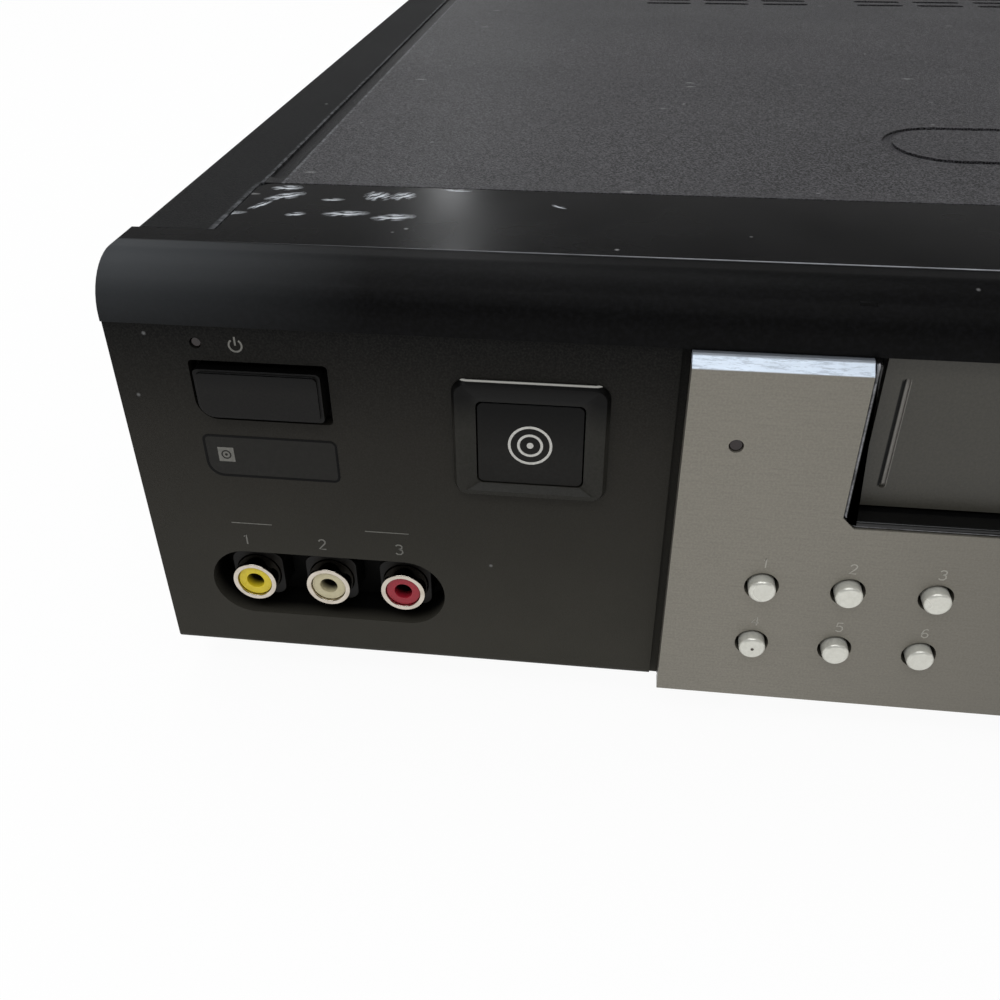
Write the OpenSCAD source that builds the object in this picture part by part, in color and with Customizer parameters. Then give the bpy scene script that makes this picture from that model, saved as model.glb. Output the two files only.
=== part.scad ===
// Front-loading video cassette recorder: a low wide case with the cassette door in the middle of the front.
// X runs along the front, Y from the front to the back and Z up. The origin is on the floor under the middle.
// Inside the modules, in_place() puts Y = 0 on the black front panel and Z = 0 at the panel's lower edge.

/* [Case] */
// Width of the case
body_w = 430; // [424:1:450]
// Depth from the black front panel to the back of the case
body_d = 289; // [286:1:320]
// Height of the case above the lower edge of the front panel
body_h = 77; // [76:0.5:84]
// Height of the feet
foot_h = 8; // [6:0.5:12]
// Diameter of a foot
foot_d = 34; // [24:1:40]
// Distance from the case's ends to the feet's centres
foot_inset_x = 45; // [30:1:70]
// Distance from the front panel to the front feet's centres, and from the back to the rear ones
foot_inset_y = 35; // [28:1:60]
// Thickness of the steel cover and the rear panel
cover_t = 0.8; // [0.6:0.1:1]
// Radius of the cover's long upper edges
cover_r = 2; // [1.2:0.1:4]
// Distance from the front panel to the cover's front edge at both ends
cover_front = 16.5; // [15:0.5:22]
// Thickness of the steel chassis floor
floor_t = 1.2; // [0.8:0.1:2]
// Height of the chassis floor's underside above the panel's lower edge
floor_z = 1.2; // [0.8:0.1:2]
// Height of the chassis side walls
tray_wall_h = 14; // [8:0.5:20]

/* [Cover pressings] */
// Width of the two long pressed grooves
groove_w = 3.3; // [2:0.1:5]
// Depth of the pressed grooves and of the oval bead
press_d = 0.5; // [0.3:0.1:0.7]
// Distance from the case's ends to the grooves' centre lines
groove_x = 16.4; // [10:0.1:30]
// Length of the oval bead in the middle
bead_w = 166; // [80:1:200]
// Width of the oval bead across
bead_h = 26; // [15:1:40]
// Width of the bead's pressed line
bead_line = 2; // [1:0.1:3]
// Distance from the front panel to the bead's centre line
bead_y = 78; // [65:1:110]
// Length of a vent slot
vent_w = 15; // [8:0.5:17]
// Width of a vent slot
vent_h = 3; // [2:0.1:4]
// Spacing of the vent slots in a group
vent_pitch = 19.3; // [18:0.1:22]
// Spacing of the groups of vent slots
vent_group_pitch = 69.5; // [68:0.5:72]
// Number of vent slots in a group
vent_count = 3; // [1:1:3]
// Number of groups of vent slots
vent_groups = 4; // [2:1:5]
// Number of rows of vent slots
vent_rows = 4; // [2:1:5]
// Spacing of the rows of vent slots
vent_row_pitch = 7; // [6:0.5:8]
// Distance from the back of the case to the first row's middle
vent_back = 45; // [42:1:60]

/* [Moulded front] */
// Wall thickness of the moulded front
wall_t = 2.5; // [2:0.1:2.8]
// Radius of the front panel's lower edge
edge_r = 1.5; // [0.5:0.1:2]
// Height of the upper strip
strip_h = 9.4; // [9:0.1:11]
// Radius of the upper strip's curved face
brow_r = 8.5; // [8:0.1:9]
// How far the upper strip stands out over the lower panel
brow_proud = 0.5; // [0.3:0.1:0.8]
// Depth of the smooth tongue on the top, from the front panel
tongue_d = 41; // [30:0.5:50]
// Width of the smooth tongue
tongue_w = 401; // [380:1:404]
// Thickness of the tongue
tongue_t = 2; // [1.5:0.1:2.4]
// Radius of the tongue's rear corners
tongue_r = 3; // [1:0.5:6]
// Width of the black side panels beside the raised middle fascia
side_panel_w = 92.5; // [90:0.5:95]
// How far the fascia stands out from the black panel
fascia_proud = 3; // [2:0.1:3.5]
// Size of the fascia's sloped upper edge
fascia_chamfer = 1.8; // [1:0.1:2]
// Width of the dark joint beside the fascia
joint_w = 1.4; // [0.8:0.1:2]
// Depth of the dark joint
joint_d = 1.2; // [0.6:0.1:1.5]

/* [Cassette door] */
// Width of the cassette slot inside its surround
slot_w = 190.6; // [190.2:0.1:191]
// Height of the cassette slot
slot_h = 27.6; // [27.4:0.1:28]
// Width of the surround's rim at the sides
rim_w = 1; // [0.8:0.1:1.4]
// Width of the surround's rim below the slot
ledge_t = 1.4; // [1:0.1:2]
// Depth of the slot's tunnel behind the front panel
tunnel_d = 12; // [10:0.5:12.5]
// Chamfer at the surround's lower corners
corner_cut = 2; // [1:0.1:3]
// Gap between the door and the slot's side walls
door_side_gap = 1.5; // [1.2:0.1:1.8]
// Gap under the door
door_gap = 0.6; // [0.5:0.05:0.8]
// Thickness of the door
door_t = 2; // [1.6:0.1:2.2]
// How far the door's face lies behind the front panel
door_back = 1.2; // [0.8:0.1:1.4]
// Distance from the front panel to the door's hinge
hinge_y = 6; // [5.8:0.1:6.4]
// Distance from the top of the case to the door's hinge
hinge_drop = 6; // [5.8:0.1:6.2]
// Diameter of the door's hinge pins
hinge_pin_d = 3; // [2:0.1:3.2]
// Radial clearance of pins and shafts in their bores
bore_fit = 0.05; // [0.02:0.01:0.08]

/* [Buttons and lamps] */
// Width of a rectangular button
key_w = 21; // [14:0.1:21.5]
// Height of a rectangular button
key_h = 8.8; // [7:0.1:9]
// Gap around a button in its opening
key_gap = 1; // [0.4:0.05:1.1]
// Radius of the power button's and the sensor window's larger corner
key_corner = 2.6; // [1:0.1:3]
// How far a rectangular button stands out from the black panel
key_proud = 1.7; // [1:0.1:3]
// Travel of every push button
key_travel = 1; // [0.5:0.1:1.2]
// Distance from the case's left end to the power button's middle
power_x = 24.5; // [20:0.1:30]
// Distance from the upper strip down to the power button's middle
power_z = 11.6; // [10.6:0.1:12.6]
// Distance from the case's right end to the transport buttons' middle column
transport_x = 45.5; // [43:0.1:48]
// Spacing of the transport buttons' columns
transport_pitch = 26; // [25.5:0.1:27]
// Height of the upper row of transport buttons
transport_z = 38; // [36:0.1:39]
// Spacing of the transport buttons' rows
transport_row = 17; // [15:0.1:18]
// Diameter of a small round button
menu_d = 4.5; // [3.5:0.1:5]
// Gap around a small round button
menu_gap = 0.6; // [0.3:0.05:0.8]
// How far a small round button stands out from the fascia
menu_proud = 1.8; // [1:0.1:2.5]
// Distance from the case's left end to the first column of small buttons
menu_x = 108; // [106:0.1:110]
// Spacing of the small buttons' columns
menu_pitch = 14.15; // [12:0.05:15]
// Height of the lower row of small buttons
menu_z = 12.9; // [10:0.1:14]
// Spacing of the small buttons' rows
menu_row = 12.7; // [11:0.1:14]
// Distance from the fascia's right edge to the channel rocker's middle
rocker_in = 30.5; // [27:0.5:34]
// Width of the channel rocker
rocker_w = 26; // [20:0.5:30]
// Height of the channel rocker
rocker_h = 8; // [6:0.1:9]
// Diameter of the power lamp's hole
power_lamp_d = 1.9; // [1.5:0.1:2.5]
// Distance from the case's left end to the power lamp
power_lamp_x = 14.9; // [12:0.1:18]
// Distance from the upper strip down to the power lamp
power_lamp_z = 3.2; // [2.6:0.1:3.6]
// Diameter of the fascia lamp's hole
fascia_lamp_d = 2.3; // [1.5:0.1:3]
// Distance from the fascia's left edge to the fascia lamp
fascia_lamp_x = 8; // [6.5:0.1:10.5]
// Height of the fascia lamp
fascia_lamp_z = 52.8; // [45:0.1:60]

/* [Windows and reader pad] */
// Width of the remote sensor's window
sensor_w = 22.9; // [15:0.1:26]
// Height of the remote sensor's window
sensor_h = 7.9; // [5:0.1:8.5]
// Distance from the upper strip down to the sensor window's middle
sensor_z = 24.2; // [23.6:0.1:25.6]
// Width of the reader pad's raised frame
pad_frame_w = 25.2; // [24:0.1:28]
// Height of the reader pad's raised frame
pad_frame_h = 21.6; // [21:0.1:24]
// Width of the reader pad
pad_w = 17.2; // [14:0.1:18]
// Height of the reader pad
pad_h = 14.9; // [12:0.1:15.4]
// How far the pad's frame stands out from the black panel
pad_proud = 1.2; // [0.8:0.1:2]
// Distance from the case's left end to the pad's middle
pad_x = 68.4; // [67:0.1:71]
// Distance from the upper strip down to the frame's middle
pad_frame_z = 17.8; // [16.6:0.1:19.6]
// How far the pad's middle lies below the frame's middle
pad_drop = 0.9; // [0:0.1:1.2]
// Width of the display window
display_w = 104; // [90:1:110]
// Height of the display window
display_h = 22; // [16:0.5:24]
// Height of the display window's middle
display_z = 19.3; // [17:0.1:21]

/* [Sockets] */
// Spacing of the round signal jacks
jack_pitch = 14; // [13.5:0.1:14.5]
// Distance from the case's left end to the middle front jack
jack_x = 31.3; // [30:0.1:34]
// Height of the front jacks
jack_z = 15.7; // [14:0.1:17]
// Outer diameter of a jack's metal shell
shell_d = 8.2; // [7.6:0.1:8.4]
// Wall of a jack's metal shell
shell_t = 0.9; // [0.6:0.05:1]
// Diameter of a jack's centre hole
jack_bore_d = 3.2; // [2.8:0.1:3.4]
// Depth of a jack's centre hole
jack_bore_l = 8; // [6:0.5:9]
// Width of the front jacks' oval recess
pocket_w = 43.6; // [42:0.1:46]
// Height of the front jacks' oval recess
pocket_h = 14.4; // [12:0.1:16]
// Depth of the front jacks' oval recess
pocket_d = 8; // [6:0.5:9]
// Width of the black collar behind each front jack
collar_w = 9.6; // [9.2:0.1:9.8]
// Distance from the front panel to the collars
collar_front = 3; // [2:0.5:5]
// Diameter of the aerial sockets' threaded barrels
aerial_d = 9.5; // [8:0.1:10]
// How far the aerial sockets stand out at the back
aerial_reach = 9; // [8:0.5:12]
// Diameter of the hole for the power lead
lead_d = 6.5; // [5:0.1:8]

/* [Tape deck] */
// Width of a cassette
cassette_w = 187; // [186:0.1:188]
// Height of a cassette
cassette_h = 25; // [24.5:0.1:25.2]
// How far the basket moves back
basket_travel = 64; // [50:1:66]
// How far the basket drops onto the reels
basket_drop = 17; // [12:0.5:17.5]
// Depth of the cassette basket
basket_d = 80; // [70:1:81]
// Sheet thickness of the basket
basket_t = 0.8; // [0.6:0.1:1]
// Sheet thickness of the deck, its rails and its slider
deck_t = 1.2; // [1:0.1:1.3]
// Width of the deck plate
deck_w = 216; // [214:1:220]
// Distance from the deck plate's back edge to the back of the case
deck_back = 31; // [27:1:33]
// How far the deck's upper face lies below the slot's floor
deck_below = 20; // [19:0.5:21]
// Spacing of the two reels
reel_pitch = 92; // [88:1:96]
// Diameter of a reel table
reel_d = 34; // [28:1:38]
// Diameter of the head drum
drum_d = 62; // [58:0.5:64]
// Tilt of the head drum
drum_tilt = 5.5; // [4:0.5:6]
// Diameter of the capstan
capstan_d = 4; // [3:0.1:4.5]
// Diameter of the flywheel
flywheel_d = 56; // [44:1:60]
// Diameter of the pinch roller
roller_d = 16; // [14:0.5:16.5]
// Travel of the tape guides
guide_travel = 64; // [50:1:66]
// Diameter of the cam wheel
cam_d = 36; // [28:1:38]

/* [Hidden] */
$fn = 48;

// Fits between parts
trim_fit = 0.1;
slip = 0.3;
running_gap = 0.4;

// Case
left = -body_w / 2;
right = body_w / 2;
fascia_w = body_w - 2 * side_panel_w;
front_reach = fascia_proud + menu_proud;
front_y = -(body_d + aerial_reach - front_reach) / 2;
strip_z = body_h - strip_h;
fascia_top = strip_z - trim_fit;
brow_cy = brow_r - brow_proud;
brow_cz = body_h - brow_r;
tongue_corner_x = tongue_w / 2 - tongue_r;
lip_d = 12;
lip_t = 2;
rear_y = body_d - cover_t;
rear_panel_front = rear_y - cover_t;
tray_front = lip_d + slip;
tray_back = rear_panel_front - 0.2;
tray_w = body_w - 2 * cover_t - 0.4;
tray_front_w = body_w - 2 * wall_t - 2 * slip;
floor_top = floor_z + floor_t;
floor_slot_y = 0.6 * body_d;
floor_slot_l = 40;
floor_slot_w = 4;
floor_slot_pitch = 24;
gland_x = left + 45;
rear_vent_x = gland_x + 35;
rear_vent_z = 40;
rear_vent_w = 3;
rear_vent_h = 26;
rear_vent_pitch = 8;
cover_z = floor_z;
tray_side_y = cover_front + slip;
rear_lip_h = 11;
rear_lip_cut = 6;
groove_front = tongue_d + 3;
groove_back = 6;

// Screws
screw_d = 3;
screw_head_d = 7;
screw_head_h = 1.6;
screw_l = 9;
screw_hole_d = 3.4;
cover_screw_xs = [for (i = [-1.5:1:1.5]) i * (body_w - 60) / 3];
cover_screw_z = body_h - 5.5;
foot_recess_d = 12;
foot_wall = (foot_d - foot_recess_d) / 2;
foot_web = 4;
foot_round = 1.5;
foot_ys = [foot_inset_y, body_d - foot_inset_y];
foot_spots = [for (side = [-1, 1]) for (y = foot_ys) [side * (right - foot_inset_x), y]];

// Cassette slot and door
slot_z = strip_z - slot_h;
slot_out_w = slot_w + 2 * rim_w;
surround_front = fascia_proud - 0.2;
door_w = slot_w - 2 * door_side_gap;
door_z = slot_z + door_gap;
door_top = strip_z - 0.4;
hinge_z = body_h - hinge_drop;
ear_t = 2.5;
ear_x = slot_w / 2 + rim_w + 0.5;
arm_t = 3;
arm_r = 2.6;
arm_root = 6;
finger_x = 3.4;
finger_w = 1;
finger_d = 0.6;
finger_end = 3.5;
spring_od = 5;
spring_l = 2.2;
spring_leg = 0.8;
spring_leg_top = brow_cz + brow_r - wall_t - 0.6;

// Buttons: [name, x, z]
key_hole_w = key_w + 2 * key_gap;
key_hole_h = key_h + 2 * key_gap;
key_r = 0.8;
key_step = 0.5;
stem_y = 6.5;
flange_y = wall_t + slip;
flange_t = 1;
flange_over = 1;
board_y = 11;
board_t = 1.6;
board_notch_x = ear_x + ear_t + 1;
board_notch_z = slot_z - ledge_t - 2;
front_board_x = right - 6;
front_board_z = 3;
front_board_top = strip_z - 3;
post_d = 5;
side_post_x = right - 8;
side_post_zs = [48, 62];
low_post_xs = [-118, 0, 118];
low_post_z = 6;
switch_w = 6;
switch_y = stem_y + key_travel + trim_fit;
menu_hole_d = menu_d + 2 * menu_gap;
menu_edge = 0.4;
transport_names = ["rewind_button", "play_button", "forward_button", "stop_button", "pause_button",
    "record_button"];
function menu_spot(i) = [left + menu_x + menu_pitch * (i % 3), menu_z + menu_row * (1 - floor(i / 3))];
function transport_spot(i) = [right - transport_x + transport_pitch * (i % 3 - 1),
    transport_z - transport_row * floor(i / 3)];
power_spot = [left + power_x, strip_z - power_z];
eject_spot = [right - power_x, strip_z - power_z];
transport_spots = [for (i = [0:5]) transport_spot(i)];
key_spots = concat([power_spot, eject_spot], transport_spots);
menu_spots = [for (i = [0:5]) menu_spot(i)];
rocker_x = fascia_w / 2 - rocker_in;
rocker_z = display_z;
rocker_proud = menu_proud - 0.3;
rocker_hole_w = rocker_w + 2 * key_gap;
rocker_hole_h = rocker_h + 2 * key_gap;
rocker_tilt_room = 0.8;
rocker_axle_y = 4.5;
rocker_axle_d = 2.5;
rocker_ear_w = 7;
rocker_ear_z = rocker_h / 2 + 4.4;
rocker_ear_t = 3.8;

// Windows and pad
sensor_spot = [left + power_x, strip_z - sensor_z];
power_lamp_spot = [left + power_lamp_x, strip_z - power_lamp_z];
fascia_lamp_spot = [-fascia_w / 2 + fascia_lamp_x, fascia_lamp_z];
frame_spot = [left + pad_x, strip_z - pad_frame_z];
pad_spot = frame_spot - [0, pad_drop];
pad_gap = 0.2;
pad_throat_w = pad_w + 2 * pad_gap;
pad_throat_h = pad_h + 2 * pad_gap;
pad_sleeve_w = pad_throat_w + 1.6;
pad_sleeve_h = pad_throat_h + 1.6;
pad_frame_r = 2.5;
pad_slope = 0.6;
pad_rim = 1.3;
slice = 0.2;
trim_r = 1;
lamp_set = 0.4;
display_r = 2;
display_rim = 3;
display_back_w = display_w - 3 * display_rim;
display_back_h = display_h - 2.6 * display_rim;

// Jacks
jack_seat = pocket_d + 1.5;
collar_r = 2;
pocket_wall = 2;
insert_back = 0.5;
block_l = 10;
shell_in_block = 2.5;
front_jacks = [for (i = [-1:1]) [left + jack_x + i * jack_pitch, jack_z]];
rear_jack_x = 70;
rear_jack_z = 40;
rear_jacks = [for (r = [0, 1]) for (i = [-1:1]) [rear_jack_x + i * jack_pitch, rear_jack_z - r * jack_pitch]];
block_w = 2 * jack_pitch + 18;
block_h = 20;
gland_z = 24;
gland_flange_d = 15;
gland_d = 11;
gland_rim = 1;
gland_inside = 4;
aerial_x = right - 45;
aerial_hole_d = 4;
aerial_nut_d = aerial_d + 4;
aerial_nut_t = 1.5;
aerial_zs = [24, 44];
tuner_w = 44;
tuner_d = 56;
tuner_y = rear_panel_front - tuner_d;
tuner_t = 1;
tuner_top = aerial_zs[1] + 12;

// Tape deck, measured from the deck plate's upper face
deck_z = slot_z - deck_below;
deck_y = 16;
deck_d = body_d - deck_back - deck_y;
deck_boss_d = 8;
deck_boss_in = 9;
deck_boss_x = deck_w / 2 - deck_boss_in / 2;
deck_boss_ys = [deck_y + deck_boss_in, deck_y + 0.5 * deck_d, deck_y + deck_d - deck_boss_in];
basket_y = tunnel_d + 2;
basket_in = cassette_w / 2 + 1.1;
basket_side_t = 1.2;
basket_out = basket_in + basket_side_t;
basket_top_z = slot_z + cassette_h + 1.6;
basket_back = basket_y + basket_d;
basket_open_d = 26;
basket_front_h = 22;
basket_floor_w = 25;
basket_stop_w = 36;
basket_window = [110, 32, 6];
basket_window_y = basket_y + basket_open_d + 28;
slider_x = basket_out + basket_t;
rail_x = slider_x + deck_t + 1.2;
guide_pin_d = 3;
guide_slot = guide_pin_d + 0.3;
pin_end = 0.4;
basket_pin_z = slot_z + 10;
basket_pin_ys = [basket_y + 16, basket_back - 14];
slider_pin_z = slot_z + 22;
slider_pin_ys = [basket_y + 10, basket_back - 8];
slider_bar_d = 4;
slider_bar_z = basket_top_z + basket_t + 2.4;
slider_bar_y = basket_back - 4;
slider_low_z = basket_pin_z - basket_drop - 5;
slider_back = basket_back + 2;
slider_horn_d = 7;
rail_end = 15;
rail_back = slider_pin_ys[1] + basket_travel + rail_end;
rail_foot = 6;
rail_top_z = slider_pin_z + 7;
reel_y = 100;
reel_pin_d = 3;
reel_pin_h = 16;
reel_table_t = 2.6;
reel_spindle_d = 8;
reel_spindle_h = 18.2;
reel_key_t = 1.2;
reel_key_h = 14;
drum_y = 200;
drum_low = 6;
drum_split = 22;
drum_h = 18;
drum_shaft_d = 6;
drum_foot_d = 43.4;
drum_foot_h = 10;
drum_dish_d = drum_d - 16;
drum_dish_h = 3;
drum_hub_d = 20;
drum_bottom = drum_split + running_gap;
capstan_spot = [58, 166];
capstan_h = 28;
stator_d = 42;
housing_d = 12;
housing_h = 3.8;
stator_t = 1.2;
coil_h = 2;
coil_d = stator_d - 4;
stator_z = -deck_t - stator_t;
flywheel_h = 6.6;
flywheel_top = stator_z - coil_h - running_gap;
pinch_spot = [93, 178];
pinch_arm_l = 30.2;
pinch_rest = 161.3;
pinch_pin_d = 4;
pinch_pin_h = 11;
pinch_hub_d = 9;
pinch_arm_w = 6;
pinch_arm_t = 2;
pinch_arm_z = 2;
roller_z = pinch_arm_z + pinch_arm_t;
roller_pin_d = 3;
roller_pin_h = 16;
roller_h = 14;
guide_start = [22, 146];
guide_angle = atan2(66, 20);
guide_neck = 5.6;
guide_slot_w = 6.2;
guide_slot_l = guide_travel + 6;
guide_foot_w = 10;
guide_foot_t = 3;
guide_clip_t = 1.4;
guide_post_d = 3;
guide_post_h = 24;
guide_roller_d = 5;
guide_roller_zs = [6, 22];
cam_spot = [86, 222];
cam_z = 27;
cam_h = 6;
cam_pin_d = 5;
cam_post_d = 9;
motor_spot = [56, 236];
motor_d = 20;
motor_h = 22;
motor_collar_d = 8;
motor_collar_h = 3;
audio_head_spot = [58, 209];
audio_head = [14, 10];
erase_head_spot = [-60, 180];
erase_head = [12, 8];
head_block_h = 22;

// Boards
side_boards_back = body_d - 9;
board_z = 8;
board_edge = 8;
power_board_w = 86;
power_board_d = 130;
main_board_w = 86;
main_board_x = right - board_edge - main_board_w;
power_board_x = left + board_edge;
power_board_y = side_boards_back - power_board_d;
rear_strip_d = 24;
rear_strip_x = power_board_x + power_board_w + 12;
board_front = tray_front + 8;
parts_z = board_z + board_t;
board_boss_d = 6;
board_boss_in = 6;
power_boss_xs = [power_board_x + board_boss_in, power_board_x + power_board_w - board_boss_in];
power_boss_ys = [power_board_y + board_boss_in, side_boards_back - board_boss_in];
main_boss_xs = [main_board_x + board_boss_in, main_board_x + main_board_w - board_boss_in];
main_boss_ys = [50, 150];
strip_boss_xs = [-40, 60];
board_boss_spots = concat([for (x = power_boss_xs) for (y = power_boss_ys) [x, y]],
    [for (x = main_boss_xs) for (y = main_boss_ys) [x, y]],
    [for (x = strip_boss_xs) [x, side_boards_back - board_boss_in]]);
transformer_x = power_board_x + 44;
transformer_y = side_boards_back - 52;
core_w = 40;
core_d = 34;
core_h = 34;
core_leg = 7;
coil_pack_d = 44;
coil_pack_hole = 8;
coil_fit = 0.3;
coil_pack_x = core_w / 2 - core_leg - coil_fit;
// Large capacitors on the power board and small ones on the main board: [x, y, diameter, height]
capacitors = concat(
    [for (i = [0:2]) [power_board_x + 22 + i * 22, power_board_y + 18, 16 - 2 * i, 30 - 4 * i]],
    [for (i = [0:3]) [main_board_x + 70, board_front + 40 + i * 20, 8, 12]]);
// Chips on the main board: [x, y, width, depth]
chips = [for (i = [0:2]) [main_board_x + 18 + i * 24, board_front + 50 + i * 45, 20, 14 + 3 * i]];
chip_h = 2.6;

module in_place() { translate([0, front_y, foot_h]) children(); }
module block(x0, x1, y0, y1, z0, z1) { translate([x0, y0, z0]) cube([x1 - x0, y1 - y0, z1 - z0]); }
// Extrudes a shape drawn in Y and Z along X, about X = 0
module along_x(l) { rotate([90, 0, 90]) translate([0, 0, -l / 2]) linear_extrude(l) children(); }
// Extrudes a shape drawn in X and Z from y0 to y1
module along_y(y0, y1) { translate([0, y1, 0]) rotate([90, 0, 0]) linear_extrude(y1 - y0) children(); }
module rod_x(d, x0, x1) { translate([x0, 0, 0]) rotate([0, 90, 0]) cylinder(d = d, h = x1 - x0); }
module rod_y(d, y0, y1) { translate([0, y1, 0]) rotate([90, 0, 0]) cylinder(d = d, h = y1 - y0); }
module rod_z(d, z0, z1) { translate([0, 0, z0]) cylinder(d = d, h = z1 - z0); }
module both_sides() { for (side = [0, 1]) mirror([side, 0, 0]) children(); }
module at_xz(spot) { translate([spot[0], 0, spot[1]]) children(); }
module at_xy(spot) { translate([spot[0], spot[1], 0]) children(); }
module on_deck() { in_place() translate([0, 0, deck_z]) children(); }
module rounded(w, h, r) {
    square([w - 2 * r, h], center = true);
    square([w, h - 2 * r], center = true);
    for (x = [-1, 1]) for (y = [-1, 1]) translate([x * (w / 2 - r), y * (h / 2 - r)]) circle(r);
}
// A rounded rectangle whose lower left corner has a larger radius
module key_shape(w, h, r, corner) {
    difference() {
        rounded(w, h, r);
        translate([-w / 2 - 1, -h / 2 - 1]) square(corner + 1);
    }
    intersection() {
        translate([corner - w / 2, corner - h / 2]) circle(corner);
        translate([-w / 2, -h / 2]) square(corner);
    }
}
module slot_shape(w, h) { rounded(w, h, min(w, h) / 2 - 0.001); }
module ring(od, id) { difference() { circle(d = od); circle(d = id); } }

// ---- Case ----
module bottom_chassis() color("#8c8f92") in_place() {
    difference() {
        union() {
            block(-tray_front_w / 2, tray_front_w / 2, tray_front, tray_side_y, floor_z, floor_top);
            block(-tray_w / 2, tray_w / 2, tray_side_y, tray_back, floor_z, floor_top);
            both_sides() block(tray_w / 2 - floor_t, tray_w / 2, tray_side_y, tray_back,
                floor_z, floor_z + tray_wall_h);
            block(-tray_w / 2, tray_w / 2, tray_back - floor_t, tray_back, floor_z, board_z - slip);
            both_sides() for (y = deck_boss_ys) at_xy([deck_boss_x, y])
                rod_z(deck_boss_d, floor_top, deck_z - deck_t);
            for (spot = board_boss_spots) at_xy(spot) rod_z(board_boss_d, floor_top, board_z);
        }
        for (spot = foot_spots) at_xy(spot) rod_z(screw_hole_d, floor_z - 1, floor_top + 1);
        for (i = [-3:3]) translate([i * floor_slot_pitch, floor_slot_y, floor_z - 1])
            linear_extrude(floor_t + 2) slot_shape(floor_slot_w, floor_slot_l);
    }
}

module cover_outline(w, h, r) {
    translate([-w / 2, 0]) square([w, h - r]);
    translate([-w / 2 + r, 0]) square([w - 2 * r, h]);
    for (x = [-1, 1]) translate([x * (w / 2 - r), h - r]) circle(r);
}
module press_marks(wider) {
    both_sides() translate([right - groove_x, (groove_front + body_d - groove_back) / 2])
        slot_shape(groove_w + wider, body_d - groove_back - groove_front + wider);
    translate([0, bead_y]) difference() {
        slot_shape(bead_w + wider, bead_h + wider);
        slot_shape(bead_w - 2 * bead_line - wider, bead_h - 2 * bead_line - wider);
    }
}
module top_cover() color("#3a3a3c") in_place() difference() {
    union() {
        along_y(cover_front, body_d) difference() {
            translate([0, cover_z]) cover_outline(body_w, body_h - cover_z, cover_r);
            translate([0, cover_z - 1])
                cover_outline(body_w - 2 * cover_t, body_h - cover_z - cover_t + 1, cover_r - cover_t);
        }
        along_y(rear_y, body_d) difference() {
            translate([0, cover_z]) cover_outline(body_w, body_h - cover_z, cover_r);
            translate([left + rear_lip_cut, cover_z - 1])
                square([body_w - 2 * rear_lip_cut, body_h - cover_z - rear_lip_h + 1]);
        }
        translate([0, 0, body_h - cover_t - press_d]) linear_extrude(press_d) press_marks(cover_t);
    }
    block(-tongue_w / 2 - slip, tongue_w / 2 + slip, 0, tongue_d + slip, body_h / 2, body_h + 1);
    translate([0, 0, body_h - press_d]) linear_extrude(press_d + 1) press_marks(0);
    for (g = [0:vent_groups - 1]) for (i = [0:vent_count - 1]) for (r = [0:vent_rows - 1])
        translate([(g - (vent_groups - 1) / 2) * vent_group_pitch + (i - (vent_count - 1) / 2) * vent_pitch,
                   body_d - vent_back + r * vent_row_pitch, body_h - cover_t - 1])
            linear_extrude(cover_t + 2) slot_shape(vent_w, vent_h);
    for (x = cover_screw_xs) at_xz([x, cover_screw_z]) rod_y(screw_hole_d, rear_y - 1, body_d + 1);
}

module rear_panel() color("#34363a") in_place() difference() {
    block(-tray_w / 2, tray_w / 2, rear_panel_front, rear_y, floor_z, body_h - cover_r);
    for (x = cover_screw_xs) at_xz([x, cover_screw_z]) rod_y(screw_hole_d, rear_panel_front - 1, rear_y + 1);
    at_xz([gland_x, gland_z]) rod_y(gland_d + 2 * trim_fit, rear_panel_front - 1, rear_y + 1);
    for (z = aerial_zs) at_xz([aerial_x, z]) rod_y(aerial_d + 1, rear_panel_front - 1, rear_y + 1);
    for (spot = rear_jacks) at_xz(spot) rod_y(shell_d + 1, rear_panel_front - 1, rear_y + 1);
    for (i = [0:9]) at_xz([rear_vent_x + i * rear_vent_pitch, rear_vent_z])
        along_y(rear_panel_front - 1, rear_y + 1) slot_shape(rear_vent_w, rear_vent_h);
}

module screw() {
    rod_z(screw_head_d, 0, screw_head_h);
    rod_z(screw_d, -screw_l, 0);
}
module case_screws() color("#26272a") in_place() {
    for (x = cover_screw_xs) translate([x, body_d, cover_screw_z]) rotate([-90, 0, 0]) screw();
    for (spot = foot_spots) translate([spot[0], spot[1], floor_z - foot_web]) rotate([180, 0, 0]) screw();
}

module feet() color("#1c1c1c") in_place() for (spot = foot_spots) at_xy(spot)
    translate([0, 0, -foot_h]) rotate_extrude() {
        translate([foot_recess_d / 2, 0]) square([foot_wall - foot_round, foot_h + floor_z]);
        translate([foot_recess_d / 2, foot_round]) square([foot_wall, foot_h + floor_z - foot_round]);
        translate([screw_hole_d / 2, foot_h + floor_z - foot_web]) square([foot_recess_d / 2, foot_web]);
        translate([foot_d / 2 - foot_round, foot_round]) circle(foot_round);
    }

// ---- Moulded front ----
module brow_fill() {
    translate([-brow_proud, strip_z]) square([cover_front + brow_proud, brow_cz - strip_z]);
    translate([brow_cy, brow_cz]) square([cover_front - brow_cy, brow_r]);
    intersection() {
        translate([brow_cy, brow_cz]) circle(brow_r);
        translate([-brow_proud, brow_cz]) square(brow_r);
    }
}
module brow_hollow() {
    translate([brow_cy - brow_r + wall_t, strip_z - 1]) square([cover_front, brow_cz - strip_z + 1]);
    translate([brow_cy, brow_cz]) square([cover_front, brow_r - tongue_t]);
    intersection() {
        translate([brow_cy, brow_cz]) circle(brow_r - wall_t);
        translate([brow_cy - brow_r, brow_cz]) square(brow_r);
    }
}
module face_section() {
    translate([0, edge_r]) square([wall_t, strip_z - edge_r]);
    translate([edge_r, 0]) square([lip_d - edge_r, lip_t]);
    translate([edge_r, edge_r]) circle(edge_r);
}
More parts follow.
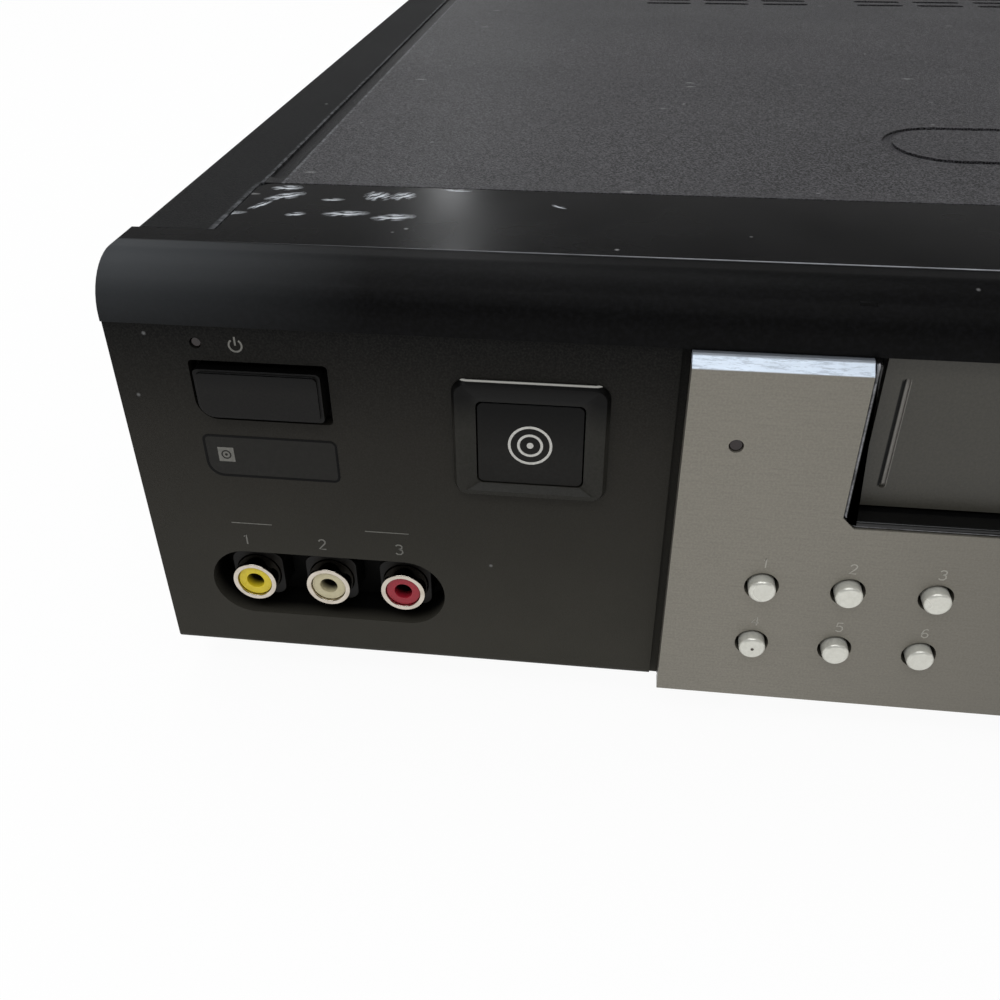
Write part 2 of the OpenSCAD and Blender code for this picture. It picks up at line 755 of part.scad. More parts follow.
module end_section() {
    translate([0, edge_r]) square([cover_front, strip_z - edge_r]);
    translate([edge_r, 0]) square([cover_front - edge_r, lip_t]);
    translate([edge_r, edge_r]) circle(edge_r);
}
module slot_outline(w, z0, cut) {
    polygon([[-w / 2, strip_z], [-w / 2, z0 + cut], [-w / 2 + cut, z0],
        [w / 2 - cut, z0], [w / 2, z0 + cut], [w / 2, strip_z]]);
}
module board_posts() {
    for (x = [-side_post_x, side_post_x]) for (z = side_post_zs) at_xz([x, z]) rod_y(post_d, wall_t, board_y);
    for (x = low_post_xs) at_xz([x, low_post_z]) rod_y(post_d, wall_t, board_y);
}
module rocker_ears() {
    for (side = [0, 1]) translate([rocker_x, 0, rocker_z]) mirror([0, 0, side])
        block(-rocker_ear_w / 2, rocker_ear_w / 2, wall_t, rocker_axle_y + rocker_axle_d,
            rocker_ear_z - rocker_ear_t, rocker_ear_z);
}
module front_bezel() color("#232321") in_place() difference() {
    union() {
        along_x(body_w) face_section();
        both_sides() translate([right - wall_t / 2, 0, 0]) along_x(wall_t) end_section();
        at_xz([left + jack_x, jack_z]) along_y(0, jack_seat)
            slot_shape(pocket_w + 2 * pocket_wall, pocket_h + 2 * pocket_wall);
        board_posts();
        rocker_ears();
    }
    at_xz([rocker_x, rocker_z]) translate([0, rocker_axle_y, 0])
        rod_z(rocker_axle_d + 2 * bore_fit, -rocker_ear_z - 1, rocker_ear_z + 1);
    along_y(-1, wall_t + 1) slot_outline(slot_out_w, slot_z - ledge_t, corner_cut);
    at_xz([left + jack_x, jack_z]) along_y(-1, pocket_d) slot_shape(pocket_w, pocket_h);
    for (spot = front_jacks) at_xz(spot) along_y(pocket_d - 1, jack_seat + 1)
        rounded(collar_w + 2 * trim_fit, collar_w + 2 * trim_fit, collar_r);
    both_sides() at_xz(power_spot) along_y(-1, wall_t + 1)
        key_shape(key_hole_w, key_hole_h, key_r, key_corner + key_gap);
    for (spot = transport_spots) at_xz(spot) along_y(-1, wall_t + 1) rounded(key_hole_w, key_hole_h, key_r);
    for (spot = menu_spots) at_xz(spot) rod_y(menu_hole_d, -1, wall_t + 1);
    at_xz([rocker_x, rocker_z]) along_y(-1, wall_t + 1) rounded(rocker_hole_w, rocker_hole_h, key_r);
    at_xz(sensor_spot) along_y(-1, wall_t + 1)
        key_shape(sensor_w + 2 * trim_fit, sensor_h + 2 * trim_fit, trim_r, key_corner);
    at_xz(pad_spot) along_y(-1, wall_t + 1)
        square([pad_sleeve_w + 2 * trim_fit, pad_sleeve_h + 2 * trim_fit], center = true);
    at_xz(power_lamp_spot) rod_y(power_lamp_d, -1, wall_t + 1);
    at_xz(fascia_lamp_spot) rod_y(fascia_lamp_d, -1, wall_t + 1);
    at_xz([0, display_z]) along_y(-1, wall_t + 1)
        square([display_w - 2 * display_rim, display_h - 2 * display_rim], center = true);
    both_sides() block(fascia_w / 2, fascia_w / 2 + joint_w, -1, joint_d, -1, strip_z);
}

module tongue_shape() {
    translate([-tongue_w / 2, brow_cy]) square([tongue_w, tongue_d - tongue_r - brow_cy]);
    translate([-tongue_corner_x, brow_cy]) square([2 * tongue_corner_x, tongue_d - brow_cy]);
    both_sides() translate([tongue_corner_x, tongue_d - tongue_r]) circle(tongue_r);
}
module top_strip() color("#131314") in_place() difference() {
    union() {
        along_x(body_w) difference() {
            brow_fill();
            brow_hollow();
        }
        both_sides() translate([right - wall_t / 2, 0, 0]) along_x(wall_t) brow_fill();
        translate([0, 0, body_h - tongue_t]) linear_extrude(tongue_t) tongue_shape();
        both_sides() block(ear_x, ear_x + ear_t, wall_t - brow_proud, hinge_y + arm_r + 1,
            hinge_z - arm_r, body_h - tongue_t);
    }
    both_sides() translate([0, hinge_y, hinge_z])
        rod_x(hinge_pin_d + 2 * bore_fit, ear_x - 1, ear_x + ear_t + 1);
}

module fascia_panel() color("#6f6b63") in_place() difference() {
    along_x(fascia_w) polygon([[-fascia_proud, 0], [0, 0], [0, fascia_top],
        [fascia_chamfer - fascia_proud, fascia_top], [-fascia_proud, fascia_top - fascia_chamfer]]);
    along_y(-fascia_proud - 1, 1) slot_outline(slot_out_w, slot_z - ledge_t, corner_cut);
    for (spot = menu_spots) at_xz(spot) rod_y(menu_hole_d, -fascia_proud - 1, 1);
    at_xz([rocker_x, rocker_z]) along_y(-fascia_proud - 1, 1) rounded(rocker_hole_w, rocker_hole_h, key_r);
    at_xz(fascia_lamp_spot) rod_y(fascia_lamp_d, -fascia_proud - 1, 1);
    at_xz([0, display_z]) along_y(-fascia_proud - 1, 1)
        rounded(display_w + 2 * trim_fit, display_h + 2 * trim_fit, display_r);
}

module door_surround() color("#121212") in_place() along_y(-surround_front, tunnel_d) difference() {
    slot_outline(slot_out_w - 2 * trim_fit, slot_z - ledge_t + trim_fit, corner_cut);
    translate([-slot_w / 2, slot_z]) square([slot_w, slot_h + 1]);
}

module cassette_door() color("#3e3c36") in_place() {
    difference() {
        union() {
            block(-door_w / 2, door_w / 2, door_back, door_back + door_t, door_z, door_top);
            both_sides() translate([door_w / 2 - arm_t / 2, 0, 0]) along_x(arm_t) {
                polygon([[door_back + door_t, door_top - arm_root], [hinge_y + arm_r, hinge_z],
                    [hinge_y - arm_r, hinge_z], [door_back + door_t, door_top]]);
                translate([hinge_y, hinge_z]) circle(arm_r);
            }
        }
        both_sides() translate([door_w / 2 - finger_x, 0, (door_z + door_top) / 2])
            along_y(door_back - 1, door_back + finger_d)
            slot_shape(finger_w, door_top - door_z - 2 * finger_end);
    }
    both_sides() translate([0, hinge_y, hinge_z]) rod_x(hinge_pin_d, door_w / 2, ear_x + ear_t);
}

module door_spring() color("#b9bcc0") in_place() translate([-ear_x + slip, hinge_y, hinge_z]) difference() {
    union() {
        rod_x(spring_od, 0, spring_l);
        block(0, spring_leg, 0, hinge_pin_d, 0, spring_leg_top - hinge_z);
    }
    rod_x(hinge_pin_d + 2 * slip, -1, spring_l + 1);
}

// ---- Buttons and lamps ----
module flat_key(corner) {
    along_y(-key_proud + key_step, stem_y) key_shape(key_w, key_h, key_r, corner);
    along_y(-key_proud, -key_proud + key_step)
        key_shape(key_w - 2 * key_step, key_h - 2 * key_step, key_r, max(key_r, corner - key_step));
    along_y(flange_y, flange_y + flange_t)
        square([key_hole_w + 2 * flange_over, key_hole_h + 2 * flange_over], center = true);
}
module round_key() {
    face = -fascia_proud - menu_proud;
    rod_y(menu_d, face + menu_edge, stem_y);
    translate([0, face + menu_edge, 0]) rotate([90, 0, 0])
        cylinder(d1 = menu_d, d2 = menu_d - 2 * menu_edge, h = menu_edge);
    rod_y(menu_hole_d + 2 * flange_over, flange_y, flange_y + flange_t);
}
module power_button() color("#17181a") in_place() at_xz(power_spot) flat_key(key_corner);
module eject_button() color("#17181a") in_place() at_xz(eject_spot) mirror([1, 0, 0]) flat_key(key_corner);
module transport_button(i) color("#17181a") in_place() at_xz(transport_spot(i)) flat_key(key_r);
module menu_button(i) color("#a8a6a0") in_place() at_xz(menu_spot(i)) round_key();
module channel_rocker() color("#a8a6a0") in_place() at_xz([rocker_x, rocker_z]) {
    along_y(-fascia_proud - rocker_proud, stem_y) rounded(rocker_w, rocker_h, key_r);
    along_y(flange_y + rocker_tilt_room, flange_y + rocker_tilt_room + flange_t)
        square([rocker_hole_w + 2 * flange_over, rocker_h], center = true);
    translate([0, rocker_axle_y, 0]) rod_z(rocker_axle_d, -rocker_ear_z, rocker_ear_z);
}

module sensor_window() color("#2a2622") in_place() at_xz(sensor_spot)
    along_y(0, wall_t) key_shape(sensor_w, sensor_h, trim_r, key_corner);

module pad_slice(y, spot, w, h, r) { at_xz(spot) along_y(y, y + slice) rounded(w, h, r, $fn = 32); }
module pad_bezel() color("#20201f") in_place() difference() {
    union() {
        hull() {
            pad_slice(-slice, frame_spot, pad_frame_w, pad_frame_h, pad_frame_r);
            pad_slice(-pad_proud, frame_spot, pad_frame_w - 2 * pad_slope, pad_frame_h - 2 * pad_slope,
                pad_frame_r - pad_slope);
        }
        at_xz(pad_spot) along_y(0, wall_t) square([pad_sleeve_w, pad_sleeve_h], center = true);
    }
    hull() {
        pad_slice(-pad_proud - slice, frame_spot, pad_frame_w - 2 * pad_rim, pad_frame_h - 2 * pad_rim,
            trim_r);
        pad_slice(-slice, pad_spot, pad_throat_w, pad_throat_h, trim_r);
    }
    at_xz(pad_spot) along_y(-1, wall_t + 1) rounded(pad_throat_w, pad_throat_h, trim_r);
}
module reader_pad() color("#232322") in_place() at_xz(pad_spot)
    along_y(0, wall_t) rounded(pad_w, pad_h, trim_r);

module lamps() color("#5a1512") in_place() {
    at_xz(power_lamp_spot) rod_y(power_lamp_d - 2 * trim_fit, lamp_set, board_y);
    at_xz(fascia_lamp_spot) rod_y(fascia_lamp_d - 2 * trim_fit, -fascia_proud + lamp_set, board_y);
}
module display_window() color("#0c0e10") in_place() at_xz([0, display_z])
    along_y(-fascia_proud + trim_fit, 0) rounded(display_w, display_h, display_r);

// ---- Boards and sockets ----
module front_board() color("#2f6b3f") in_place() along_y(board_y, board_y + board_t) difference() {
    polygon([[-front_board_x, front_board_z], [front_board_x, front_board_z],
        [front_board_x, front_board_top], [board_notch_x, front_board_top],
        [board_notch_x, board_notch_z], [-board_notch_x, board_notch_z],
        [-board_notch_x, front_board_top], [-front_board_x, front_board_top]]);
    translate([left + jack_x, jack_z]) square([block_w + 2, block_h + 2], center = true);
}
module switch(w) { along_y(switch_y, board_y) square(w, center = true); }
module board_components() color("#2b2b2e") in_place() {
    for (spot = concat(key_spots, menu_spots)) at_xz(spot) switch(switch_w);
    for (side = [-1, 1]) at_xz([rocker_x + side * rocker_w / 3, rocker_z]) switch(switch_w - 1);
    at_xz([0, display_z]) along_y(wall_t + slip, board_y)
        square([display_back_w, display_back_h], center = true);
    for (part = capacitors) at_xy(part) rod_z(part[2], parts_z, parts_z + part[3]);
    for (part = chips) translate([part[0], part[1], parts_z]) cube([part[2], part[3], chip_h]);
}

module jack_block(jacks, y0, y1) {
    first = jacks[0];
    last = jacks[len(jacks) - 1];
    difference() {
        at_xz((first + last) / 2) along_y(y0, y1)
            square([block_w, block_h + first[1] - last[1]], center = true);
        for (spot = jacks) at_xz(spot) children();
    }
}
module jack_blocks() color("#151515") in_place() {
    jack_block(front_jacks, jack_seat, jack_seat + block_l)
        rod_y(shell_d + 2 * trim_fit, jack_seat - 1, jack_seat + shell_in_block);
    for (spot = front_jacks) at_xz(spot) along_y(collar_front, jack_seat - trim_fit) difference() {
        rounded(collar_w, collar_w, collar_r);
        circle(d = shell_d + 2 * trim_fit);
    }
    jack_block(rear_jacks, rear_panel_front - block_l, rear_panel_front)
        rod_y(shell_d + 2 * trim_fit, rear_panel_front - shell_in_block, rear_panel_front + 1);
    block(rear_jack_x - block_w / 2, rear_jack_x + block_w / 2, rear_panel_front - block_l,
        rear_panel_front - 2, parts_z, rear_jack_z - jack_pitch - block_h / 2);
}
// A jack faces the front with its mouth at Y = 0 and its root at Y = jack_seat + shell_in_block
module jack_shell() { along_y(0, jack_seat + shell_in_block) ring(shell_d, shell_d - 2 * shell_t); }
module jack_insert() {
    difference() {
        rod_y(shell_d - 2 * shell_t - trim_fit, insert_back, jack_seat + shell_in_block);
        rod_y(jack_bore_d, -1, insert_back + jack_bore_l);
    }
}
module rear_facing() { translate([0, rear_panel_front + jack_seat, 0]) rotate([0, 0, 180]) children(); }
module one_jack(column) {
    at_xz(front_jacks[column]) children();
    for (row = [0, 1]) at_xz(rear_jacks[row * 3 + column]) rear_facing() children();
}
module jack_shells() color("#b8b4ae") in_place() for (column = [0:2]) one_jack(column) jack_shell();
module yellow_inserts() color("#d8c313") in_place() one_jack(0) jack_insert();
module white_inserts() color("#d9cfae") in_place() one_jack(1) jack_insert();
module red_inserts() color("#9c1626") in_place() one_jack(2) jack_insert();

module main_board() color("#2f6b3f") in_place() translate([0, 0, board_z]) linear_extrude(board_t) {
    translate([main_board_x, board_front]) square([main_board_w, side_boards_back - board_front]);
    translate([rear_strip_x, side_boards_back - rear_strip_d])
        square([main_board_x + 1 - rear_strip_x, rear_strip_d]);
}
module power_board() color("#9a7a3c") in_place()
    block(power_board_x, power_board_x + power_board_w, power_board_y, side_boards_back, board_z, parts_z);
module power_transformer() color("#6d6a66") in_place() translate([transformer_x, transformer_y, parts_z]) {
    difference() {
        block(-core_w / 2, core_w / 2, -core_d / 2, core_d / 2, 0, core_h);
        block(core_leg - core_w / 2, core_w / 2 - core_leg, -core_d, core_d, core_leg, core_h - core_leg);
    }
    difference() {
        block(-coil_pack_x, coil_pack_x, -coil_pack_d / 2, coil_pack_d / 2,
            core_leg + coil_fit, core_h - core_leg - coil_fit);
        block(-coil_pack_hole / 2, coil_pack_hole / 2, -coil_pack_d, coil_pack_d,
            (core_h - coil_pack_hole) / 2, (core_h + coil_pack_hole) / 2);
    }
}
module tuner_can() color("#c2c5c8") in_place() difference() {
    union() {
        block(aerial_x - tuner_w / 2, aerial_x + tuner_w / 2, tuner_y, rear_panel_front, parts_z, tuner_top);
        for (z = aerial_zs) at_xz([aerial_x, z]) {
            rod_y(aerial_d, rear_panel_front, body_d + aerial_reach);
            rod_y(aerial_nut_d, rear_y, rear_y + aerial_nut_t);
        }
    }
    block(aerial_x - tuner_w / 2 + tuner_t, aerial_x + tuner_w / 2 - tuner_t, tuner_y + tuner_t,
        rear_panel_front - tuner_t, parts_z - 1, tuner_top - tuner_t);
    for (z = aerial_zs) at_xz([aerial_x, z])
        rod_y(aerial_hole_d, rear_y + aerial_nut_t, body_d + aerial_reach + 1);
}
module cord_gland() color("#161616") in_place() at_xz([gland_x, gland_z]) difference() {
    union() {
        rod_y(gland_d, rear_panel_front - gland_inside, body_d + gland_rim);
        rod_y(gland_flange_d, rear_y, body_d + gland_rim);
    }
    rod_y(lead_d, rear_panel_front - gland_inside - 1, body_d + gland_rim + 1);
}

// ---- Tape deck ----
module guide_track(side, w, l) {
    mirror([side, 0, 0]) at_xy(guide_start) rotate(guide_angle) translate([l / 2, 0]) slot_shape(l + w, w);
}
module deck_plate() color("#a9adb0") on_deck() {
    difference() {
        translate([-deck_w / 2, deck_y, -deck_t]) cube([deck_w, deck_d, deck_t]);
        at_xy(capstan_spot) rod_z(housing_d + 0.4, -deck_t - 1, 1);
        for (side = [0, 1]) translate([0, 0, -deck_t - 1]) linear_extrude(deck_t + 2)
            guide_track(side, guide_slot_w, guide_slot_l);
    }
    for (side = [-1, 1]) at_xy([side * reel_pitch / 2, reel_y]) rod_z(reel_pin_d, 0, reel_pin_h);
    at_xy(pinch_spot) rod_z(pinch_pin_d, 0, pinch_pin_h);
    at_xy(cam_spot) {
        rod_z(cam_post_d, 0, cam_z - slip);
        rod_z(cam_pin_d, cam_z - slip, cam_z + cam_h + 1);
    }
}
// A slot shape drawn in Y and Z, cut through a sheet that starts at x
module sheet_slot(x, y, z, l, h) {
    translate([x - 1, y, z]) rotate([90, 0, 90]) linear_extrude(deck_t + 2) slot_shape(l, h);
}
module basket_rails() color("#9ea2a5") in_place() both_sides() {
    difference() {
        block(rail_x, rail_x + deck_t, deck_y, rail_back, deck_z, rail_top_z);
        sheet_slot(rail_x, (slider_pin_ys[0] + slider_pin_ys[1] + basket_travel) / 2, slider_pin_z,
            slider_pin_ys[1] - slider_pin_ys[0] + basket_travel + guide_slot, guide_slot);
    }
    block(rail_x + deck_t, rail_x + deck_t + rail_foot, deck_y, rail_back, deck_z, deck_z + deck_t);
}
module basket_slider() color("#7c8084") in_place() {
    both_sides() {
        difference() {
            union() {
                block(slider_x, slider_x + deck_t, basket_y, slider_back, slider_low_z, basket_top_z);
                block(slider_x, slider_x + deck_t, slider_back - slider_horn_d, slider_back,
                    basket_top_z, slider_bar_z + slider_bar_d / 2);
            }
            for (y = basket_pin_ys)
                sheet_slot(slider_x, y, basket_pin_z - basket_drop / 2, guide_slot, basket_drop + guide_slot);
        }
        for (y = slider_pin_ys) translate([0, y, slider_pin_z])
            rod_x(guide_pin_d, slider_x + deck_t, rail_x + deck_t + pin_end);
    }
    translate([0, slider_bar_y, slider_bar_z]) rod_x(slider_bar_d, -slider_x, slider_x);
}
module cassette_basket() color("#b4b7ba") in_place() {
    both_sides() {
        block(basket_in, basket_out, basket_y, basket_back, slot_z - basket_t, slot_z + basket_front_h);
        block(basket_in, basket_out, basket_y + basket_open_d, basket_back, slot_z, basket_top_z + basket_t);
        block(basket_out - basket_floor_w, basket_in, basket_y, basket_back, slot_z - basket_t, slot_z);
        block(basket_out - basket_stop_w, basket_in, basket_back - basket_t, basket_back,
            slot_z, basket_top_z);
        for (y = basket_pin_ys) translate([0, y, basket_pin_z])
            rod_x(guide_pin_d, basket_out, slider_x + deck_t + pin_end);
    }
    difference() {
        block(-basket_in, basket_in, basket_y + basket_open_d, basket_back,
            basket_top_z, basket_top_z + basket_t);
        translate([0, basket_window_y, basket_top_z - 1]) linear_extrude(basket_t + 2)
            rounded(basket_window[0], basket_window[1], basket_window[2]);
    }
}

module drum_frame() { translate([0, drum_y, 0]) rotate([0, drum_tilt, 0]) children(); }
module drum_base() color("#b9bcbf") on_deck() difference() {
    union() {
        translate([0, drum_y, 0]) rod_z(drum_foot_d, 0, drum_foot_h);
        drum_frame() rod_z(drum_d, drum_low, drum_split);
    }
    drum_frame() rod_z(drum_shaft_d + 2 * bore_fit, -drum_low, drum_split + 1);
}
module head_drum() color("#d0d3d5") on_deck() drum_frame() {
    difference() {
        rod_z(drum_d, drum_bottom, drum_bottom + drum_h);
        rod_z(drum_dish_d, drum_bottom + drum_h - drum_dish_h, drum_bottom + drum_h + 1);
    }
    rod_z(drum_hub_d, drum_bottom + drum_h - drum_dish_h, drum_bottom + drum_h);
    rod_z(drum_shaft_d, drum_low - 2, drum_bottom);
}
module capstan_motor() color("#55606a") on_deck() at_xy(capstan_spot) difference() {
    union() {
        rod_z(stator_d, stator_z, -deck_t);
        rod_z(coil_d, stator_z - coil_h, stator_z);
        rod_z(housing_d, -deck_t, housing_h);
    }
    rod_z(capstan_d + 2 * bore_fit, stator_z - coil_h - 1, housing_h + 1);
}
module capstan() color("#c9cccf") on_deck() at_xy(capstan_spot) {
    rod_z(flywheel_d, flywheel_top - flywheel_h, flywheel_top);
    rod_z(capstan_d, flywheel_top, capstan_h);
}
module at_pinch_roller() { at_xy(pinch_spot) rotate(pinch_rest) translate([pinch_arm_l, 0, 0]) children(); }
module pinch_arm() color("#8a8e92") on_deck() {
    difference() {
        union() {
            at_xy(pinch_spot) rod_z(pinch_hub_d, slip, pinch_pin_h - slip);
            at_xy(pinch_spot) rotate(pinch_rest) translate([0, -pinch_arm_w / 2, pinch_arm_z])
                cube([pinch_arm_l, pinch_arm_w, pinch_arm_t]);
            at_pinch_roller() rod_z(pinch_arm_w, pinch_arm_z, roller_z);
        }
        at_xy(pinch_spot) rod_z(pinch_pin_d + 2 * bore_fit, -1, pinch_pin_h + 1);
    }
    at_pinch_roller() rod_z(roller_pin_d, roller_z, roller_z + roller_pin_h);
}
module pinch_roller() color("#1d1d1d") on_deck() at_pinch_roller() difference() {
    rod_z(roller_d, roller_z + slip, roller_z + slip + roller_h);
    rod_z(roller_pin_d + 2 * bore_fit, roller_z, roller_z + roller_h + 1);
}
module reel() {
    difference() {
        union() {
            rod_z(reel_d, slip, reel_table_t);
            rod_z(reel_spindle_d, reel_table_t, reel_spindle_h);
            for (a = [0, 120, 240]) rotate(a) translate([0, -reel_key_t / 2, reel_table_t])
                cube([reel_spindle_d / 2 + reel_key_t, reel_key_t, reel_key_h]);
        }
        rod_z(reel_pin_d + 2 * bore_fit, -1, reel_pin_h + slip);
    }
}
module supply_reel() color("#e2e2dd") on_deck() at_xy([-reel_pitch / 2, reel_y]) reel();
module take_up_reel() color("#e2e2dd") on_deck() at_xy([reel_pitch / 2, reel_y]) reel();
module guide_plate(z, t) {
    translate([-guide_foot_w / 2, -guide_foot_w / 2, z]) cube([guide_foot_w, guide_foot_w, t]);
}
module tape_guide(side) mirror([side, 0, 0]) at_xy(guide_start) rotate(guide_angle) {
    guide_plate(slip, guide_foot_t);
    guide_plate(-deck_t - slip - guide_clip_t, guide_clip_t);
    rod_z(guide_neck, -deck_t - slip, slip);
    rod_z(guide_post_d, slip + guide_foot_t, guide_post_h);
    rod_z(guide_roller_d, guide_roller_zs[0], guide_roller_zs[1]);
}
module supply_guide() color("#c7b27a") on_deck() tape_guide(1);
module take_up_guide() color("#c7b27a") on_deck() tape_guide(0);
module head_block(size) {
    block(-size[0] / 2, size[0] / 2, -size[1] / 2, size[1] / 2, 0, head_block_h);
}
module tape_heads() color("#7f7a70") on_deck() {
    at_xy(audio_head_spot) head_block(audio_head);
    at_xy(erase_head_spot) head_block(erase_head);
}
module loading_motor() color("#a6a9ab") on_deck() at_xy(motor_spot) {
    rod_z(motor_d, 0, motor_h);
    rod_z(motor_collar_d, motor_h, motor_h + motor_collar_h);
}
module cam_wheel() color("#e8e6df") on_deck() at_xy(cam_spot) difference() {
    rod_z(cam_d, cam_z, cam_z + cam_h);
    rod_z(cam_pin_d + 2 * bore_fit, cam_z - 1, cam_z + cam_h + 1);
    translate([cam_d / 4, 0, 0]) rod_z(cam_d / 6, cam_z - 1, cam_z + cam_h + 1);
}

bottom_chassis();
rear_panel();
top_cover();
case_screws();
feet();
front_bezel();
top_strip();
fascia_panel();
door_surround();
cassette_door();
door_spring();
power_button();
eject_button();
for (i = [0:5]) {
    menu_button(i);
    transport_button(i);
}
channel_rocker();
sensor_window();
pad_bezel();
reader_pad();
lamps();
display_window();
front_board();
board_components();
jack_blocks();
jack_shells();
yellow_inserts();
white_inserts();
red_inserts();
main_board();
power_board();
power_transformer();
tuner_can();
cord_gland();
deck_plate();
basket_rails();
basket_slider();
cassette_basket();
drum_base();
head_drum();
capstan_motor();
capstan();
pinch_arm();
pinch_roller();
supply_reel();
take_up_reel();
supply_guide();
take_up_guide();
tape_heads();
loading_motor();
cam_wheel();
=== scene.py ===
"""Looks of the video cassette recorder: materials, soft edges, printed marks, light and camera.

The parts come from the frame. Only the printed marks and the strip's fine ridge are added to them.
"""

import math

import bmesh
import bpy
from mathutils import Matrix, Vector


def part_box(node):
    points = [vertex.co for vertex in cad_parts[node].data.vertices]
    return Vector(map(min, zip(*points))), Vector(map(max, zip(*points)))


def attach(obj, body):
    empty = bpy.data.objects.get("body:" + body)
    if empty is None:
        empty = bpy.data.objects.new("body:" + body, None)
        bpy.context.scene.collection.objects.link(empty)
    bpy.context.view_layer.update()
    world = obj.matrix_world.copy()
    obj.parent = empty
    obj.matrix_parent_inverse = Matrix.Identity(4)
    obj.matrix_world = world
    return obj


MM = 0.001

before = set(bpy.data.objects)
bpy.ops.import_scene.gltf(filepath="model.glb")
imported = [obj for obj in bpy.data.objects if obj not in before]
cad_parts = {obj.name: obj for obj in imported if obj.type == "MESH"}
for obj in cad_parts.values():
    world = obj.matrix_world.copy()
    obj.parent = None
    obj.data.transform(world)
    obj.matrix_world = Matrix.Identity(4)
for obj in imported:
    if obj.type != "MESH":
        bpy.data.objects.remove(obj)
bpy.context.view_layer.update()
PANEL_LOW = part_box("front_bezel")[0]
LEFT = PANEL_LOW.x
# Height of the smooth tongue over the black panel's lower edge, in mm
TONGUE_Z = 77


def spot(x, y, z):
    """A place in metres, given in mm.

    x counts from the case's left end, y from the black front panel and z from that panel's lower edge.
    """
    return Vector((LEFT + x * MM, PANEL_LOW.y + y * MM, PANEL_LOW.z + z * MM))


# ---- Camera, light and floor ----
CAMERA_SPOT = Vector((-133.65, -285.22, 143.08)) * MM
CAMERA_RIGHT = Vector((0.99242, 0.12258, -0.00841))
CAMERA_UP = Vector((-0.06316, 0.56768, 0.82082))
LENS = 36.39
SENSOR = 36.0
# How much the world lights, and what is seen of it: white up to one height, falling to a level at the next
WORLD_LEVEL = 0.45
SKY_WHITE, SKY_GREY, SKY_LEVEL = 0.11, 0.30, 0.07
# Share of plain white in the floor where it is seen directly
FLOOR_WHITE = 0.95


def make_camera():
    data = bpy.data.cameras.new("camera")
    data.lens = LENS
    data.sensor_fit = "HORIZONTAL"
    data.sensor_width = SENSOR
    data.clip_start = 0.01
    data.clip_end = 20
    camera = bpy.data.objects.new("camera", data)
    bpy.context.scene.collection.objects.link(camera)
    right = CAMERA_RIGHT.normalized()
    back = right.cross(CAMERA_UP).normalized()
    up = back.cross(right)
    turn = Matrix((right, up, back)).transposed().to_4x4()
    camera.matrix_world = Matrix.Translation(CAMERA_SPOT) @ turn
    bpy.context.scene.camera = camera


def area_light(name, target, direction, distance, size, brightness, tint):
    data = bpy.data.lights.new(name, "AREA")
    data.shape = "RECTANGLE"
    data.size, data.size_y = size
    data.energy = brightness * math.pi * size[0] * size[1]
    data.color = tint
    lamp = bpy.data.objects.new(name, data)
    bpy.context.scene.collection.objects.link(lamp)
    direction = Vector(direction).normalized()
    turn = direction.to_track_quat("Z", "Y").to_matrix().to_4x4()
    lamp.matrix_world = Matrix.Translation(target + direction * distance) @ turn


class Nodes:
    """A node tree that is written as nested calls."""

    def __init__(self, tree):
        self.tree = tree
        tree.nodes.clear()

    def add(self, kind, inputs=(), out=0, **settings):
        node = self.tree.nodes.new(kind)
        for name, value in settings.items():
            setattr(node, name, value)
        for name, value in dict(inputs).items():
            socket = node.inputs[name]
            if isinstance(value, bpy.types.NodeSocket):
                self.tree.links.new(value, socket)
            else:
                socket.default_value = value
        return node.outputs[out]

    def math(self, operation, a, b=0.0, clamp=False):
        return self.add("ShaderNodeMath", {0: a, 1: b}, operation=operation, use_clamp=clamp)

    def times(self, a, b):
        return self.math("MULTIPLY", a, b)

    def plus(self, a, b):
        return self.math("ADD", a, b)

    def larger(self, a, b):
        return self.math("MAXIMUM", a, b)

    def ramp(self, value, low, high, to_low=0.0, to_high=1.0):
        return self.add("ShaderNodeMapRange", {"Value": value, "From Min": low, "From Max": high,
                                               "To Min": to_low, "To Max": to_high})

    def mix(self, factor, a, b):
        node = self.tree.nodes.new("ShaderNodeMix")
        node.data_type = "RGBA"
        for index, value in ((0, factor), (6, a), (7, b)):
            if isinstance(value, bpy.types.NodeSocket):
                self.tree.links.new(value, node.inputs[index])
            else:
                node.inputs[index].default_value = value
        return node.outputs[2]

    def tint(self, tone, mask, amount, other):
        """The tone with the other one over it, by that amount where the mask is one."""
        return self.mix(self.times(mask, amount), tone, other)

    def place(self):
        return self.add("ShaderNodeTexCoord", out="Object")

    def scaled(self, factors, vector=None):
        return self.add("ShaderNodeVectorMath", {0: vector or self.place(), 1: factors}, operation="MULTIPLY")

    def noise(self, scale, detail, rough, vector=None):
        return self.add("ShaderNodeTexNoise", {"Vector": vector or self.place(), "Scale": scale,
                                               "Detail": detail, "Roughness": rough})

    def bump(self, height, strength, distance):
        return self.add("ShaderNodeBump", {"Height": height, "Strength": strength, "Distance": distance})


def grey(value):
    return (value, value, value, 1.0)


def colour(r, g, b):
    """A colour given as it shows on a screen, from 0 to 255, in the shader's own scale."""
    def linear(c):
        c /= 255
        return c / 12.92 if c <= 0.04045 else ((c + 0.055) / 1.055) ** 2.4
    return (linear(r), linear(g), linear(b), 1.0)


def seen_directly(nodes):
    """One for camera, glossy and transmission rays, and zero for the rays that light things."""
    path = nodes.tree.nodes.new("ShaderNodeLightPath")
    total = nodes.plus(path.outputs["Is Camera Ray"], path.outputs["Is Glossy Ray"])
    return nodes.math("ADD", total, path.outputs["Is Transmission Ray"], clamp=True)


